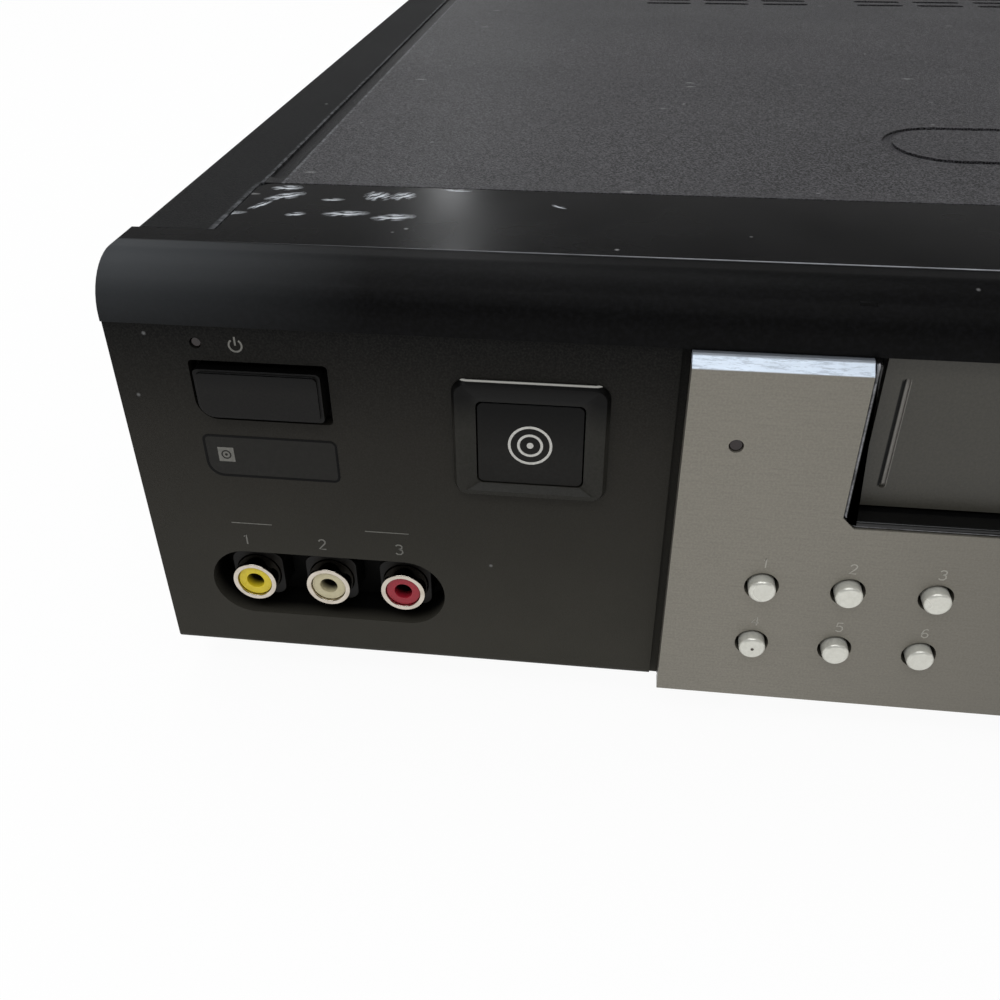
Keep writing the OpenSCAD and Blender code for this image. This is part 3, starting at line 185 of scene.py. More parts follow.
def make_world():
    """An even level for the light, and to the eye a white horizon that fades to grey overhead."""
    world = bpy.data.worlds.new("studio")
    bpy.context.scene.world = world
    world.use_nodes = True
    nodes = Nodes(world.node_tree)
    direction = nodes.add("ShaderNodeTexCoord", out="Generated")
    height = nodes.add("ShaderNodeSeparateXYZ", {"Vector": direction}, out="Z")
    sky = nodes.ramp(height, SKY_WHITE, SKY_GREY, 1.0, SKY_LEVEL)
    sky.node.interpolation_type = "SMOOTHSTEP"
    seen = seen_directly(nodes)
    strength = nodes.plus(nodes.times(seen, sky), nodes.times(nodes.math("SUBTRACT", 1.0, seen), WORLD_LEVEL))
    shine = nodes.add("ShaderNodeBackground", {"Color": grey(1.0), "Strength": strength})
    output = nodes.tree.nodes.new("ShaderNodeOutputWorld")
    nodes.tree.links.new(shine, output.inputs["Surface"])


def make_floor():
    mesh = bpy.data.meshes.new("floor")
    half = 6.0
    corners = [(-half, -half, 0), (half, -half, 0), (half, half, 0), (-half, half, 0)]
    mesh.from_pydata(corners, [], [(0, 1, 2, 3)])
    floor = bpy.data.objects.new("floor", mesh)
    bpy.context.scene.collection.objects.link(floor)
    material = bpy.data.materials.new("floor")
    material.use_nodes = True
    nodes = Nodes(material.node_tree)
    matt = nodes.add("ShaderNodeBsdfDiffuse", {"Color": grey(0.8)})
    white = nodes.add("ShaderNodeEmission", {"Color": grey(1.0), "Strength": 1.0})
    share = nodes.times(seen_directly(nodes), FLOOR_WHITE)
    both = nodes.add("ShaderNodeMixShader", {0: share, 1: matt, 2: white})
    output = nodes.tree.nodes.new("ShaderNodeOutputMaterial")
    nodes.tree.links.new(both, output.inputs["Surface"])
    mesh.materials.append(material)


def make_lights():
    """The number before the tint is the lamp's brightness as a camera sees it, where 1 is white."""
    middle = Vector((-0.12, 0.0, 0.08))
    cool, warm = (0.96, 0.98, 1.0), (1.0, 0.95, 0.90)
    area_light("top_light", middle, (-0.25, 0.25, 1.0), 1.3, (1.4, 1.0), 2.1, cool)
    area_light("front_light", middle, (-0.105, -0.57, 0.813), 1.2, (1.3, 0.32), 4.0, cool)
    area_light("streak_light", spot(52, 26, TONGUE_Z), (-0.166, 0.934, 0.36), 1.1, (0.035, 0.5), 3.6, cool)
    area_light("side_light", middle, (0.8, 0.1, 0.6), 1.5, (0.8, 0.8), 1.2, warm)


# ---- Materials ----
def finish_material(nodes, base, roughness, normal=None, metallic=0.0, specular=0.5):
    inputs = {"Base Color": base, "Roughness": roughness, "Metallic": metallic, "Specular IOR Level": specular}
    if normal is not None:
        inputs["Normal"] = normal
    shader = nodes.add("ShaderNodeBsdfPrincipled", inputs)
    output = nodes.tree.nodes.new("ShaderNodeOutputMaterial")
    nodes.tree.links.new(shader, output.inputs["Surface"])


def new_material(name):
    material = bpy.data.materials.new(name)
    material.use_nodes = True
    return material, Nodes(material.node_tree)


def dust(nodes, density, scale, stretch=(1, 1, 1)):
    """Sparse specks, or short marks where the pattern is stretched."""
    pattern = {"Vector": nodes.scaled(stretch), "Scale": scale}
    distance = nodes.add("ShaderNodeTexVoronoi", pattern, out="Distance")
    tone = nodes.add("ShaderNodeTexVoronoi", pattern, out="Color")
    chosen = nodes.math("GREATER_THAN", nodes.add("ShaderNodeSeparateColor", {"Color": tone}), 1 - density)
    return nodes.times(chosen, nodes.ramp(distance, 0.25, 0.08))


def axis(nodes, name):
    """One coordinate of the point, in metres in the frame of the part."""
    return nodes.add("ShaderNodeSeparateXYZ", {"Vector": nodes.place()}, out=name)


def from_middle(nodes):
    """Distance from the machine's middle plane, in metres."""
    return nodes.math("ABSOLUTE", axis(nodes, "X"))


def upwards(nodes, low, high, to_low=0.0, to_high=1.0):
    """A ramp between two heights, in mm over the black panel's lower edge."""
    return nodes.ramp(axis(nodes, "Z"), PANEL_LOW.z + low * MM, PANEL_LOW.z + high * MM, to_low, to_high)


def backwards(nodes, low, high):
    """A ramp between two depths, in mm behind the black panel's front."""
    return nodes.ramp(axis(nodes, "Y"), PANEL_LOW.y + low * MM, PANEL_LOW.y + high * MM)


def near(nodes, value, centre, half, soft):
    """One where value lies within half of centre, falling to zero over soft."""
    away = nodes.math("ABSOLUTE", nodes.math("SUBTRACT", value, centre))
    return nodes.ramp(away, half, half + soft, 1.0, 0.0)


def speckle(nodes, grain, base, light):
    """Two tones mixed by the grain."""
    return nodes.mix(nodes.ramp(grain, 0.35, 0.75), base, light)


def grained(name, base, light, scale, bump, roughness, specular=0.5, metallic=0.0):
    """Painted or moulded surface: fine grain and soft mottling."""
    material, nodes = new_material(name)
    grain = nodes.noise(scale, 3.0, 0.6)
    cloud = nodes.noise(28, 3.0, 0.55)
    tone = speckle(nodes, grain, base, light)
    tone = nodes.mix(nodes.ramp(cloud, 0.3, 0.7, 0.0, 0.35), tone, base)
    rough = nodes.ramp(cloud, 0.3, 0.7, roughness - 0.06, roughness + 0.06)
    finish_material(nodes, tone, rough, nodes.bump(grain, bump, 0.0002), metallic, specular)
    return material


# Places on the cover, in metres from the middle: the pressed groove, where the painted shade on the margin
# outside it starts and is full, and the corner that is worn towards the front
COVER_GROOVE = 0.1986
COVER_SHADED_MARGIN = (0.1999, 0.2003)
COVER_CORNER = 0.2010


def cover_paint():
    """Dark painted steel: grain, faint dust, short scratches, paint worn off along the pressed grooves, and
    painted shade in the grooves and over the margins outside them.
    """
    material, nodes = new_material("cover_paint")
    grain = nodes.noise(2900, 3.0, 0.6)
    cloud = nodes.noise(22, 3.0, 0.55)
    tone = nodes.mix(nodes.ramp(grain, 0.42, 0.62), colour(20, 20, 21), colour(80, 79, 82))
    tone = nodes.mix(nodes.ramp(cloud, 0.3, 0.7, 0.0, 0.15), tone, colour(38, 38, 40))
    x = from_middle(nodes)
    # Painted shade: the margin outside the groove is painted almost black
    tone = nodes.mix(nodes.ramp(x, *COVER_SHADED_MARGIN, 0.0, 0.9), tone, colour(3, 4, 4))
    # Painted shade in the pressed groove
    tone = nodes.tint(tone, near(nodes, x, COVER_GROOVE, 0.0017, 0.0001), 0.9, colour(5, 5, 6))
    chips = nodes.ramp(nodes.noise(900, 4.0, 0.75), 0.42, 0.62)
    rims = nodes.math("SUBTRACT", near(nodes, x, COVER_GROOVE, 0.0022, 0.0002),
                      near(nodes, x, COVER_GROOVE, 0.0016, 0.0001), clamp=True)
    corner = nodes.times(near(nodes, x, COVER_CORNER, 0.0004, 0.0005), backwards(nodes, 42, 38))
    tone = nodes.tint(tone, nodes.times(nodes.larger(rims, corner), chips), 0.4, colour(128, 130, 134))
    marks = nodes.larger(dust(nodes, 0.006, 500), dust(nodes, 0.010, 150, (1, 2.5, 1)))
    tone = nodes.tint(tone, marks, 0.35, grey(0.40))
    rough = nodes.ramp(cloud, 0.3, 0.7, 0.50, 0.54)
    rough = nodes.plus(rough, nodes.ramp(x, *COVER_SHADED_MARGIN, 0.0, 0.25))
    finish_material(nodes, tone, rough, nodes.bump(grain, 0.5, 0.0002), 0.0, 0.22)
    return material


# Scuffs on the tongue, in mm and degrees: middle x and y, half length, half width, turn
SCUFFS = [(21, 34, 3.4, 1.5, 35), (20, 38.6, 2.6, 1.2, 10), (30, 33, 1.9, 0.6, 10), (37.5, 35.5, 2.2, 2.2, 60),
          (42, 36, 2.2, 1.8, 50), (25.5, 25, 1.6, 0.8, 20), (34, 26, 3.6, 1.2, 10), (42.5, 25, 3.4, 1.5, 15),
          (12.5, 24, 4.0, 0.9, 15), (18, 29, 2.5, 0.7, 60), (70, 33, 1.5, 0.4, -30), (51, 40, 2.5, 0.5, 0)]
# How far a scuff reaches up and down, in mm
SCUFF_HEIGHT = 6


def scuff(nodes, x, y, half_length, half_width, turn):
    """Scratchy strokes inside an ellipse on the tongue, along its length."""
    place = nodes.add("ShaderNodeVectorMath", {0: nodes.place(), 1: spot(x, y, TONGUE_Z)}, operation="SUBTRACT")
    turned = nodes.add("ShaderNodeVectorRotate", {"Vector": place, "Angle": math.radians(-turn)})
    size = (1.2 * half_length, 1.3 * half_width, SCUFF_HEIGHT)
    scaled = nodes.scaled([1 / (half * MM) for half in size], turned)
    reach = nodes.add("ShaderNodeVectorMath", {0: scaled}, operation="LENGTH", out="Value")
    strokes = nodes.ramp(nodes.noise(1.0, 4.0, 0.65, nodes.scaled((330, 1300, 300), turned)), 0.46, 0.53)
    return nodes.times(nodes.ramp(reach, 1.0, 0.4), strokes)


def strip_plastic():
    """Black plastic, satin on the rolled front and smoother on the tongue, which has scuffs at its left end; a
    painted sheen lightens the rolled front towards either end and upwards.
    """
    material, nodes = new_material("gloss_black")
    grain = nodes.noise(1500, 2.0, 0.5)
    cloud = nodes.noise(35, 3.0, 0.55)
    tone = nodes.mix(nodes.ramp(grain, 0.4, 0.7), colour(8, 8, 8), colour(14, 14, 15))
    tongue = backwards(nodes, 10.5, 11.2)
    # Painted sheen: the rolled front is lighter towards either end of the case, most near its top
    end_sheen = nodes.times(nodes.ramp(from_middle(nodes), 0.172, 0.212), nodes.math("SUBTRACT", 1.0, tongue))
    tone = nodes.tint(tone, nodes.times(end_sheen, upwards(nodes, 68, 77, 0.35, 1.0)), 0.9, colour(62, 64, 66))
    scuffed = scuff(nodes, *SCUFFS[0])
    for place in SCUFFS[1:]:
        scuffed = nodes.larger(scuffed, scuff(nodes, *place))
    tone = nodes.tint(tone, scuffed, 0.9, colour(196, 200, 205))
    marks = nodes.larger(dust(nodes, 0.008, 520), dust(nodes, 0.004, 160, (1, 2.5, 2)))
    tone = nodes.tint(tone, marks, 0.4, grey(0.40))
    rough = nodes.plus(nodes.ramp(tongue, 0.0, 1.0, 0.42, 0.24), nodes.ramp(cloud, 0.3, 0.7, -0.03, 0.05))
    rough = nodes.plus(rough, nodes.times(scuffed, 0.3))
    finish_material(nodes, tone, rough, nodes.bump(grain, 0.06, 0.0001), 0.0, 0.055)
    return material


def panel_plastic():
    """Satin black moulding, lighter towards its foot as a painted reflection of the floor, with painted shade
    darkening it upwards under the strip and painted shade in the hollow round the jacks.
    """
    material, nodes = new_material("panel_black")
    grain = nodes.noise(3000, 3.0, 0.6)
    cloud = nodes.noise(40, 3.0, 0.5)
    # Painted light: a painted floor reflection lightens the foot, and painted shade darkens the panel upwards
    # under the strip
    tone = nodes.mix(upwards(nodes, 6, 48), colour(57, 55, 49), colour(39, 37, 33))
    tone = nodes.mix(upwards(nodes, 48, 67), tone, colour(1, 1, 1))
    tone = nodes.mix(nodes.ramp(grain, 0.4, 0.75, 0.0, 0.25), tone, colour(60, 59, 55))
    tone = nodes.mix(nodes.ramp(cloud, 0.35, 0.7, 0.0, 0.15), tone, colour(30, 30, 28))
    # Painted shade inside the hollow round the jacks
    recess_shade = near(nodes, axis(nodes, "X"), LEFT + 31 * MM, 22 * MM, 1 * MM)
    tone = nodes.tint(tone, nodes.times(recess_shade, backwards(nodes, 0.5, 3.5)), 0.95, grey(0.001))
    marks = nodes.larger(dust(nodes, 0.003, 600), dust(nodes, 0.004, 150, (1, 1, 2.5)))
    tone = nodes.tint(tone, marks, 0.35, grey(0.35))
    rough = nodes.ramp(cloud, 0.3, 0.7, 0.48, 0.56)
    finish_material(nodes, tone, rough, nodes.bump(grain, 0.25, 0.00015), 0.0, 0.09)
    return material


def brushed_metal():
    """Warm grey metallic paint with a fine level brushing and small scratches; painted shade towards the right,
    a painted pale blue highlight with nicks on the upper bevel, and a thin band of painted shade above it.
    """
    material, nodes = new_material("fascia_metal")
    brush = nodes.noise(1.0, 4.0, 0.6, nodes.scaled((160, 160, 3600)))
    grain = nodes.noise(2600, 3.0, 0.6)
    cloud = nodes.noise(16, 2.0, 0.5)
    tone = nodes.mix(nodes.ramp(brush, 0.35, 0.65), colour(121, 117, 108), colour(131, 127, 117))
    tone = nodes.mix(nodes.ramp(grain, 0.42, 0.62, 0.0, 0.6), tone, colour(141, 137, 127))
    tone = nodes.mix(nodes.ramp(cloud, 0.3, 0.7, 0.0, 0.3), tone, colour(114, 110, 101))
    shade = nodes.ramp(axis(nodes, "X"), LEFT + 105 * MM, LEFT + 160 * MM, 0.0, 0.5)
    tone = nodes.mix(shade, tone, colour(88, 85, 78))
    tone = nodes.tint(tone, dust(nodes, 0.012, 90, (1, 1, 9)), 0.35, colour(190, 190, 188))
    # Painted highlight: the upper bevel is painted pale blue, as the reflection of the lamp above, broken by
    # nicks
    bevel = upwards(nodes, 65.6, 65.8)
    tone = nodes.tint(tone, bevel, 0.85, colour(214, 226, 240))
    nicks = nodes.ramp(nodes.noise(1.0, 4.0, 0.75, nodes.scaled((420, 2600, 2600))), 0.50, 0.62)
    tone = nodes.tint(tone, nodes.times(nicks, bevel), 0.4, colour(100, 108, 120))
    # Painted shade: a thin darker band along the top, under the strip's lower edge
    tone = nodes.tint(tone, upwards(nodes, 67.15, 67.3), 0.8, colour(84, 86, 90))
    rough = nodes.ramp(brush, 0.3, 0.7, 0.36, 0.46)
    height = nodes.plus(nodes.times(brush, 0.7), nodes.times(grain, 0.3))
    finish_material(nodes, tone, rough, nodes.bump(height, 0.18, 0.00015), 0.45, 0.4)
    return material


def door_plastic():
    """Dark grey moulding, its finger grooves with painted shade on their outer side and a painted highlight on
    the inner one.
    """
    material, nodes = new_material("door_plastic")
    grain = nodes.noise(2200, 3.0, 0.6)
    tone = speckle(nodes, grain, colour(57, 55, 49), colour(66, 64, 57))
    outer_side, inner_side = 90.82 * MM, 90.1 * MM
    x = from_middle(nodes)
    low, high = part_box("cassette_door")
    length = near(nodes, axis(nodes, "Z"), (low.z + high.z) / 2 - 3.2 * MM, 9.2 * MM, 0.5 * MM)
    # Painted shade along the outer wall of each finger groove
    dark = nodes.times(near(nodes, x, outer_side, 0.3 * MM, 0.15 * MM), length)
    # Painted highlight along the inner wall of each finger groove
    bright = nodes.times(near(nodes, x, inner_side, 0.17 * MM, 0.18 * MM), length)
    tone = nodes.tint(tone, dark, 0.95, grey(0.002))
    tone = nodes.tint(tone, bright, 0.8, colour(150, 146, 140))
    tone = nodes.tint(tone, dust(nodes, 0.003, 600), 0.4, grey(0.3))
    rough = nodes.plus(nodes.ramp(grain, 0.3, 0.7, 0.35, 0.45), nodes.times(dark, 0.5))
    finish_material(nodes, tone, rough, nodes.bump(grain, 0.2, 0.0002), 0.0, 0.4)
    return material


def rim_plastic():
    """Glossy black surround with a pale painted highlight along its outer front edge."""
    material, nodes = new_material("rim_black")
    grain = nodes.noise(1500, 3.0, 0.6)
    tone = speckle(nodes, grain, colour(9, 9, 9), colour(15, 15, 15))
    low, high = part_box("door_surround")
    corner_cut = 2 * MM
    x = from_middle(nodes)
    z = axis(nodes, "Z")
    foot = near(nodes, z, low.z + 0.2 * MM, 0.12 * MM, 0.1 * MM)
    side = near(nodes, x, high.x - 0.2 * MM, 0.1 * MM, 0.1 * MM)
    corner = near(nodes, nodes.math("SUBTRACT", x, z), high.x - low.z - corner_cut - 0.3 * MM,
                  0.15 * MM, 0.15 * MM)
    # Painted highlight along the outer front edge: foot, side and cut corner, near the front, in patches
    edge = nodes.larger(nodes.larger(foot, side), corner)
    front = nodes.ramp(axis(nodes, "Y"), low.y + 0.9 * MM, low.y + 0.5 * MM)
    patchy = nodes.ramp(nodes.noise(700, 4.0, 0.7), 0.35, 0.6, 0.25, 1.0)
    tone = nodes.tint(tone, nodes.times(nodes.times(edge, front), patchy), 0.8, colour(168, 168, 172))
    finish_material(nodes, tone, 0.22, nodes.bump(grain, 0.05, 0.0001), 0.0, 0.4)
    return material


def pad_plastic(name, node, tone_low, tone_high, shade_to, shade_from, highlight_share):
    """Satin black with painted shade that darkens it upwards between two distances from the node's top, in mm.

    The edge at the top carries a painted highlight, as strong as the last number.
    """
    material, nodes = new_material(name)
    grain = nodes.noise(2200, 3.0, 0.6)
    tone = speckle(nodes, grain, tone_low, tone_high)
    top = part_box(node)[1].z
    z = axis(nodes, "Z")
    # Painted shade, darker towards the node's top
    tone = nodes.tint(tone, nodes.ramp(z, top - shade_from * MM, top - shade_to * MM), 0.95, grey(0.001))
    # Painted highlight along the edge at the top
    edge = near(nodes, z, top - 0.14 * MM, 0.05 * MM, 0.08 * MM)
    tone = nodes.tint(tone, edge, highlight_share, colour(190, 188, 182))
    finish_material(nodes, tone, 0.35, nodes.bump(grain, 0.1, 0.0002), 0.0, 0.12)
    return material


def key_plastic():
    """Glossy black buttons; those that are as high as the power button carry a painted dark reflection along
    their tops.
    """
    material, nodes = new_material("key_black")
    grain = nodes.noise(2400, 3.0, 0.6)
    tone = speckle(nodes, grain, colour(16, 15, 14), colour(23, 22, 20))
    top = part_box("power_button")[1].z
    # Painted reflection: darker along the tops of the buttons as high as the power button
    tone = nodes.tint(tone, nodes.ramp(axis(nodes, "Z"), top - 5.5 * MM, top - 2.2 * MM), 0.95, grey(0.001))
    tone = nodes.tint(tone, dust(nodes, 0.003, 600), 0.5, grey(0.35))
    finish_material(nodes, tone, 0.3, nodes.bump(grain, 0.15, 0.0002), 0.0, 0.15)
    return material


def ridge_plastic():
    """The strip's ridge, with a painted highlight that grows brighter towards the middle."""
    material, nodes = new_material("ridge_grey")
    highlight_share = nodes.ramp(from_middle(nodes), -LEFT - 150 * MM, -LEFT - 15 * MM, 1.0, 0.0)
    patchy = nodes.ramp(nodes.noise(90, 3.0, 0.7), 0.3, 0.65, 0.45, 1.0)
    # Painted highlight: pale grey where the share is high, darker near either end
    tone = nodes.mix(nodes.times(highlight_share, patchy), colour(34, 34, 35), colour(172, 174, 180))
    finish_material(nodes, tone, 0.4, None, 0.0, 0.4)
    return material


def insert_plastic(name, base, light):
    """Coloured plastic with painted shade inside the jack's bore."""
    material, nodes = new_material(name)
    grain = nodes.noise(500, 3.0, 0.6)
    tone = speckle(nodes, grain, base, light)
    low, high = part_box("yellow_inserts")
    y = axis(nodes, "Y")
    # Painted shade inside the bore, from the front and the rear faces of the inserts
    bore_shade = nodes.times(nodes.ramp(y, low.y + 0.3 * MM, low.y + 2.2 * MM),
                       nodes.ramp(y, high.y - 0.3 * MM, high.y - 2.2 * MM))
    tone = nodes.tint(tone, bore_shade, 0.97, grey(0.003))
    rough = nodes.ramp(grain, 0.3, 0.7, 0.26, 0.34)
    finish_material(nodes, tone, rough, nodes.bump(grain, 0.05, 0.0001), 0.0, 0.4)
    return material


# Plainly grained materials: name, darker and lighter tone, scale of the grain, its bump, roughness, and where
# they aren't 0.5 and 0.0 the specular level and the share of metal
GRAINED = {
    "block": ("jack_black", (12, 11, 10), (18, 17, 15), 1500, 0.1, 0.45, 0.2),
    "silver": ("key_silver", (212, 211, 201), (226, 225, 216), 1800, 0.1, 0.28, 0.5, 0.35),
    "window": ("window_smoke", (27, 26, 23), (33, 32, 29), 900, 0.05, 0.3, 0.15),
    "metal": ("jack_metal", (190, 181, 168), (214, 206, 195), 700, 0.05, 0.12, 0.5, 1.0),
    "rear": ("rear_paint", (40, 41, 44), (60, 61, 64), 1700, 0.4, 0.5),
    "zinc": ("zinc_steel", (150, 152, 155), (175, 177, 180), 260, 0.1, 0.35, 0.5, 0.9),
    "screw": ("black_screw", (30, 30, 32), (44, 44, 46), 1200, 0.1, 0.35, 0.5, 0.6),
    "rubber": ("foot_rubber", (26, 26, 26), (36, 36, 36), 1500, 0.3, 0.75, 0.3),
    "spring": ("spring_steel", (185, 188, 192), (200, 203, 206), 900, 0.1, 0.25, 0.5, 1.0),
    "lamp": ("lamp_red", (26, 13, 12), (32, 16, 14), 500, 0.02, 0.2),
    "display": ("display_glass", (10, 12, 14), (12, 14, 16), 500, 0.0, 0.08),
    "board": ("board_green", (38, 92, 55), (52, 112, 68), 180, 0.2, 0.4),
    "brown": ("board_brown", (142, 108, 56), (160, 124, 70), 180, 0.2, 0.5),
    "part": ("part_black", (30, 30, 32), (42, 42, 44), 1200, 0.15, 0.5),
    "iron": ("core_iron", (92, 88, 84), (112, 108, 102), 700, 0.3, 0.5, 0.5, 0.6),
    "tin": ("tin_plate", (190, 193, 196), (208, 210, 213), 220, 0.1, 0.3, 0.5, 1.0),
    "drum": ("drum_aluminium", (205, 206, 208), (220, 221, 223), 900, 0.05, 0.2, 0.5, 1.0),
    "motor": ("motor_paint", (150, 152, 154), (170, 171, 173), 700, 0.1, 0.35, 0.5, 0.8),
    "roller": ("roller_rubber", (28, 28, 28), (38, 38, 38), 900, 0.2, 0.7, 0.3),
    "reel": ("reel_white", (222, 220, 212), (232, 230, 224), 600, 0.1, 0.4),
    "print": ("print_grey", (104, 103, 98), (124, 122, 116), 1800, 0.05, 0.6, 0.2),
    "faint": ("print_faint", (160, 157, 148), (172, 169, 160), 1500, 0.05, 0.5, 0.3),
    "bright": ("print_white", (190, 188, 182), (212, 210, 204), 1800, 0.05, 0.6, 0.2),
    "dark": ("joint_black", (2, 2, 2), (5, 5, 5), 900, 0.02, 0.4, 0.1),
    "dot": ("print_dark", (70, 62, 58), (84, 76, 70), 1800, 0.05, 0.6, 0.2),
    "segment": ("display_segment", (28, 36, 38), (32, 41, 43), 900, 0.02, 0.3, 0.3),
    "brass": ("brass", (190, 160, 90), (205, 178, 110), 600, 0.1, 0.3, 0.5, 1.0),
}


def make_materials():
    made = {
        "cover": cover_paint(),
        "panel": panel_plastic(),
        "gloss": strip_plastic(),
        "rim": rim_plastic(),
        "fascia": brushed_metal(),
        "door": door_plastic(),
        "key": key_plastic(),
        "frame": pad_plastic("frame_black", "pad_bezel", colour(38, 37, 33), colour(46, 45, 41),
                             3.0, 9.0, 0.85),
        "pad": pad_plastic("pad_black", "reader_pad", colour(24, 23, 21), colour(30, 29, 27),
                           1.0, 9.0, 0.0),
        "yellow": insert_plastic("jack_yellow", colour(214, 190, 34), colour(224, 202, 52)),
        "white": insert_plastic("jack_white", colour(196, 186, 150), colour(206, 197, 164)),
        "red": insert_plastic("jack_red", colour(150, 26, 42), colour(162, 34, 50)),
        "ridge": ridge_plastic(),
    }
    for key, (name, base, light, *rest) in GRAINED.items():
        made[key] = grained(name, colour(*base), colour(*light), *rest)
    return made


# The nodes that wear each material
WEAR = {
    "cover": ["top_cover"],
    "rear": ["rear_panel"],
    "zinc": ["bottom_chassis", "deck_plate", "basket_rails", "basket_slider", "pinch_arm"],
    "screw": ["case_screws"],
    "rubber": ["feet"],
    "panel": ["front_bezel"],
    "frame": ["pad_bezel"],
    "block": ["jack_blocks"],
    "gloss": ["top_strip"],
    "rim": ["door_surround"],
    "fascia": ["fascia_panel"],
    "door": ["cassette_door"],
    "spring": ["door_spring"],
    "key": ["power_button", "eject_button", "rewind_button", "play_button", "forward_button", "stop_button",
            "pause_button", "record_button"],
    "silver": ["menu_button_1", "menu_button_2", "menu_button_3", "menu_button_4", "menu_button_5",
               "menu_button_6", "channel_rocker"],
    "window": ["sensor_window"],
    "pad": ["reader_pad"],
    "lamp": ["lamps"],
    "display": ["display_window"],
    "board": ["front_board", "main_board"],
    "brown": ["power_board"],
    "part": ["board_components", "cord_gland", "tape_heads"],
    "metal": ["jack_shells"],
    "yellow": ["yellow_inserts"],
    "white": ["white_inserts"],
    "red": ["red_inserts"],
    "iron": ["power_transformer"],
    "tin": ["tuner_can", "cassette_basket"],
    "drum": ["drum_base", "head_drum"],
    "motor": ["capstan_motor", "capstan", "loading_motor"],
    "roller": ["pinch_roller"],
    "reel": ["supply_reel", "take_up_reel", "cam_wheel"],
    "brass": ["supply_guide", "take_up_guide"],
}
# Width of the rounded edges in mm, for all nodes and for those that differ
EDGE = 0.15
EDGES = {"top_cover": 0.12, "front_bezel": 0.2, "top_strip": 0.2, "cassette_door": 0.25, "bottom_chassis": 0.1,
         "rear_panel": 0.1, "case_screws": 0.2, "jack_shells": 0.2, "pad_bezel": 0.3, "door_surround": 0.45}


def dress(name, material):
    """Gives a CAD node its finish and rounds its sharp edges slightly."""
    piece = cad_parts[name]
    piece.data.materials.clear()
    piece.data.materials.append(material)
    for face in piece.data.polygons:
        face.use_smooth = True
        face.material_index = 0
    weld = piece.modifiers.new("weld", "WELD")
    weld.merge_threshold = 1e-6
    flat = piece.modifiers.new("flat", "DECIMATE")
    flat.decimate_type = "DISSOLVE"
    flat.angle_limit = math.radians(1)
    bevel = piece.modifiers.new("bevel", "BEVEL")
    bevel.width = EDGES.get(name, EDGE) * MM
    bevel.segments = 2
    bevel.limit_method = "ANGLE"
    bevel.angle_limit = math.radians(32)
    bevel.use_clamp_overlap = True
    bevel.harden_normals = False
    weight = piece.modifiers.new("weight", "WEIGHTED_NORMAL")
    weight.keep_sharp = False
    weight.weight = 80


# ---- Printed marks and the strip's fine ridge ----
# Strokes of the numbers, in a box 0.6 wide and 1 high
STROKES = {
    "1": [[(0.12, 0.78), (0.34, 1.0), (0.34, 0.0)]],
    "2": [[(0.02, 0.8), (0.14, 0.96), (0.3, 1.0), (0.46, 0.96), (0.58, 0.8), (0.54, 0.6), (0.02, 0.0),
           (0.6, 0.0)]],
    "3": [[(0.03, 0.88), (0.2, 1.0), (0.42, 0.98), (0.56, 0.84), (0.53, 0.64), (0.28, 0.54)],
          [(0.28, 0.54), (0.56, 0.44), (0.6, 0.2), (0.44, 0.02), (0.18, 0.0), (0.0, 0.12)]],
    "4": [[(0.46, 0.0), (0.46, 1.0), (0.0, 0.3), (0.62, 0.3)]],
    "5": [[(0.55, 1.0), (0.1, 1.0), (0.05, 0.56), (0.3, 0.64), (0.54, 0.52), (0.6, 0.28), (0.48, 0.04),
           (0.24, 0.0), (0.02, 0.1)]],
    "6": [[(0.52, 0.92), (0.34, 1.0), (0.14, 0.88), (0.02, 0.5), (0.06, 0.14), (0.3, 0.0), (0.54, 0.14),
           (0.58, 0.36), (0.4, 0.56), (0.18, 0.54), (0.04, 0.36)]],
}


class Print:
    """Marks with a slight thickness on an upright face, in mm to the right of and above a middle point."""

    RISE = 0.04

    def __init__(self, middle):
        self.middle = middle
        self.mesh = bmesh.new()

    def vertex(self, u, v, rise):
        return self.mesh.verts.new(self.middle + Vector((u, -rise, v)) * MM)

    def fill(self, outline):
        front = [self.vertex(u, v, self.RISE) for u, v in outline]
        back = [self.vertex(u, v, -self.RISE) for u, v in outline]
        self.mesh.faces.new(front)
        self.mesh.faces.new(back[::-1])
        for i in range(len(outline)):
            j = (i + 1) % len(outline)
            self.mesh.faces.new((front[j], front[i], back[i], back[j]))

    def line(self, points, width, closed=False):
        rows = []
        last = len(points) - 1
        for i, (u, v) in enumerate(points):
            before = points[i - 1] if i or closed else points[0]
            after = points[(i + 1) % len(points)] if i < last or closed else points[last]
            along = Vector((after[0] - before[0], after[1] - before[1])).normalized()
            out = Vector((-along.y, along.x)) * width / 2
            sides = ((1, self.RISE), (-1, self.RISE), (-1, -self.RISE), (1, -self.RISE))
            rows.append([self.vertex(u + way * out.x, v + way * out.y, rise) for way, rise in sides])
        for i in range(len(points) if closed else last):
            one, two = rows[i], rows[(i + 1) % len(rows)]
            for k in range(4):
                self.mesh.faces.new((one[k], two[k], two[(k + 1) % 4], one[(k + 1) % 4]))
        if not closed:
            self.mesh.faces.new(rows[0])
            self.mesh.faces.new(rows[last][::-1])

    def arc(self, radius, width, start=0, end=360, at=(0, 0)):
        closed = end - start == 360
        steps = 32
        turns = [math.radians(start + (end - start) * i / steps) for i in range(steps + (0 if closed else 1))]
        points = [(at[0] + radius * math.cos(t), at[1] + radius * math.sin(t)) for t in turns]
        self.line(points, width, closed)

    def number(self, digit, at, height, width):
        for stroke in STROKES[digit]:
            self.line([(at[0] + (u - 0.3) * height, at[1] + (v - 0.5) * height) for u, v in stroke], width)

    def done(self, name, material, body="case"):
        bmesh.ops.recalc_face_normals(self.mesh, faces=self.mesh.faces)
        add_piece(name, self.mesh, material, body)


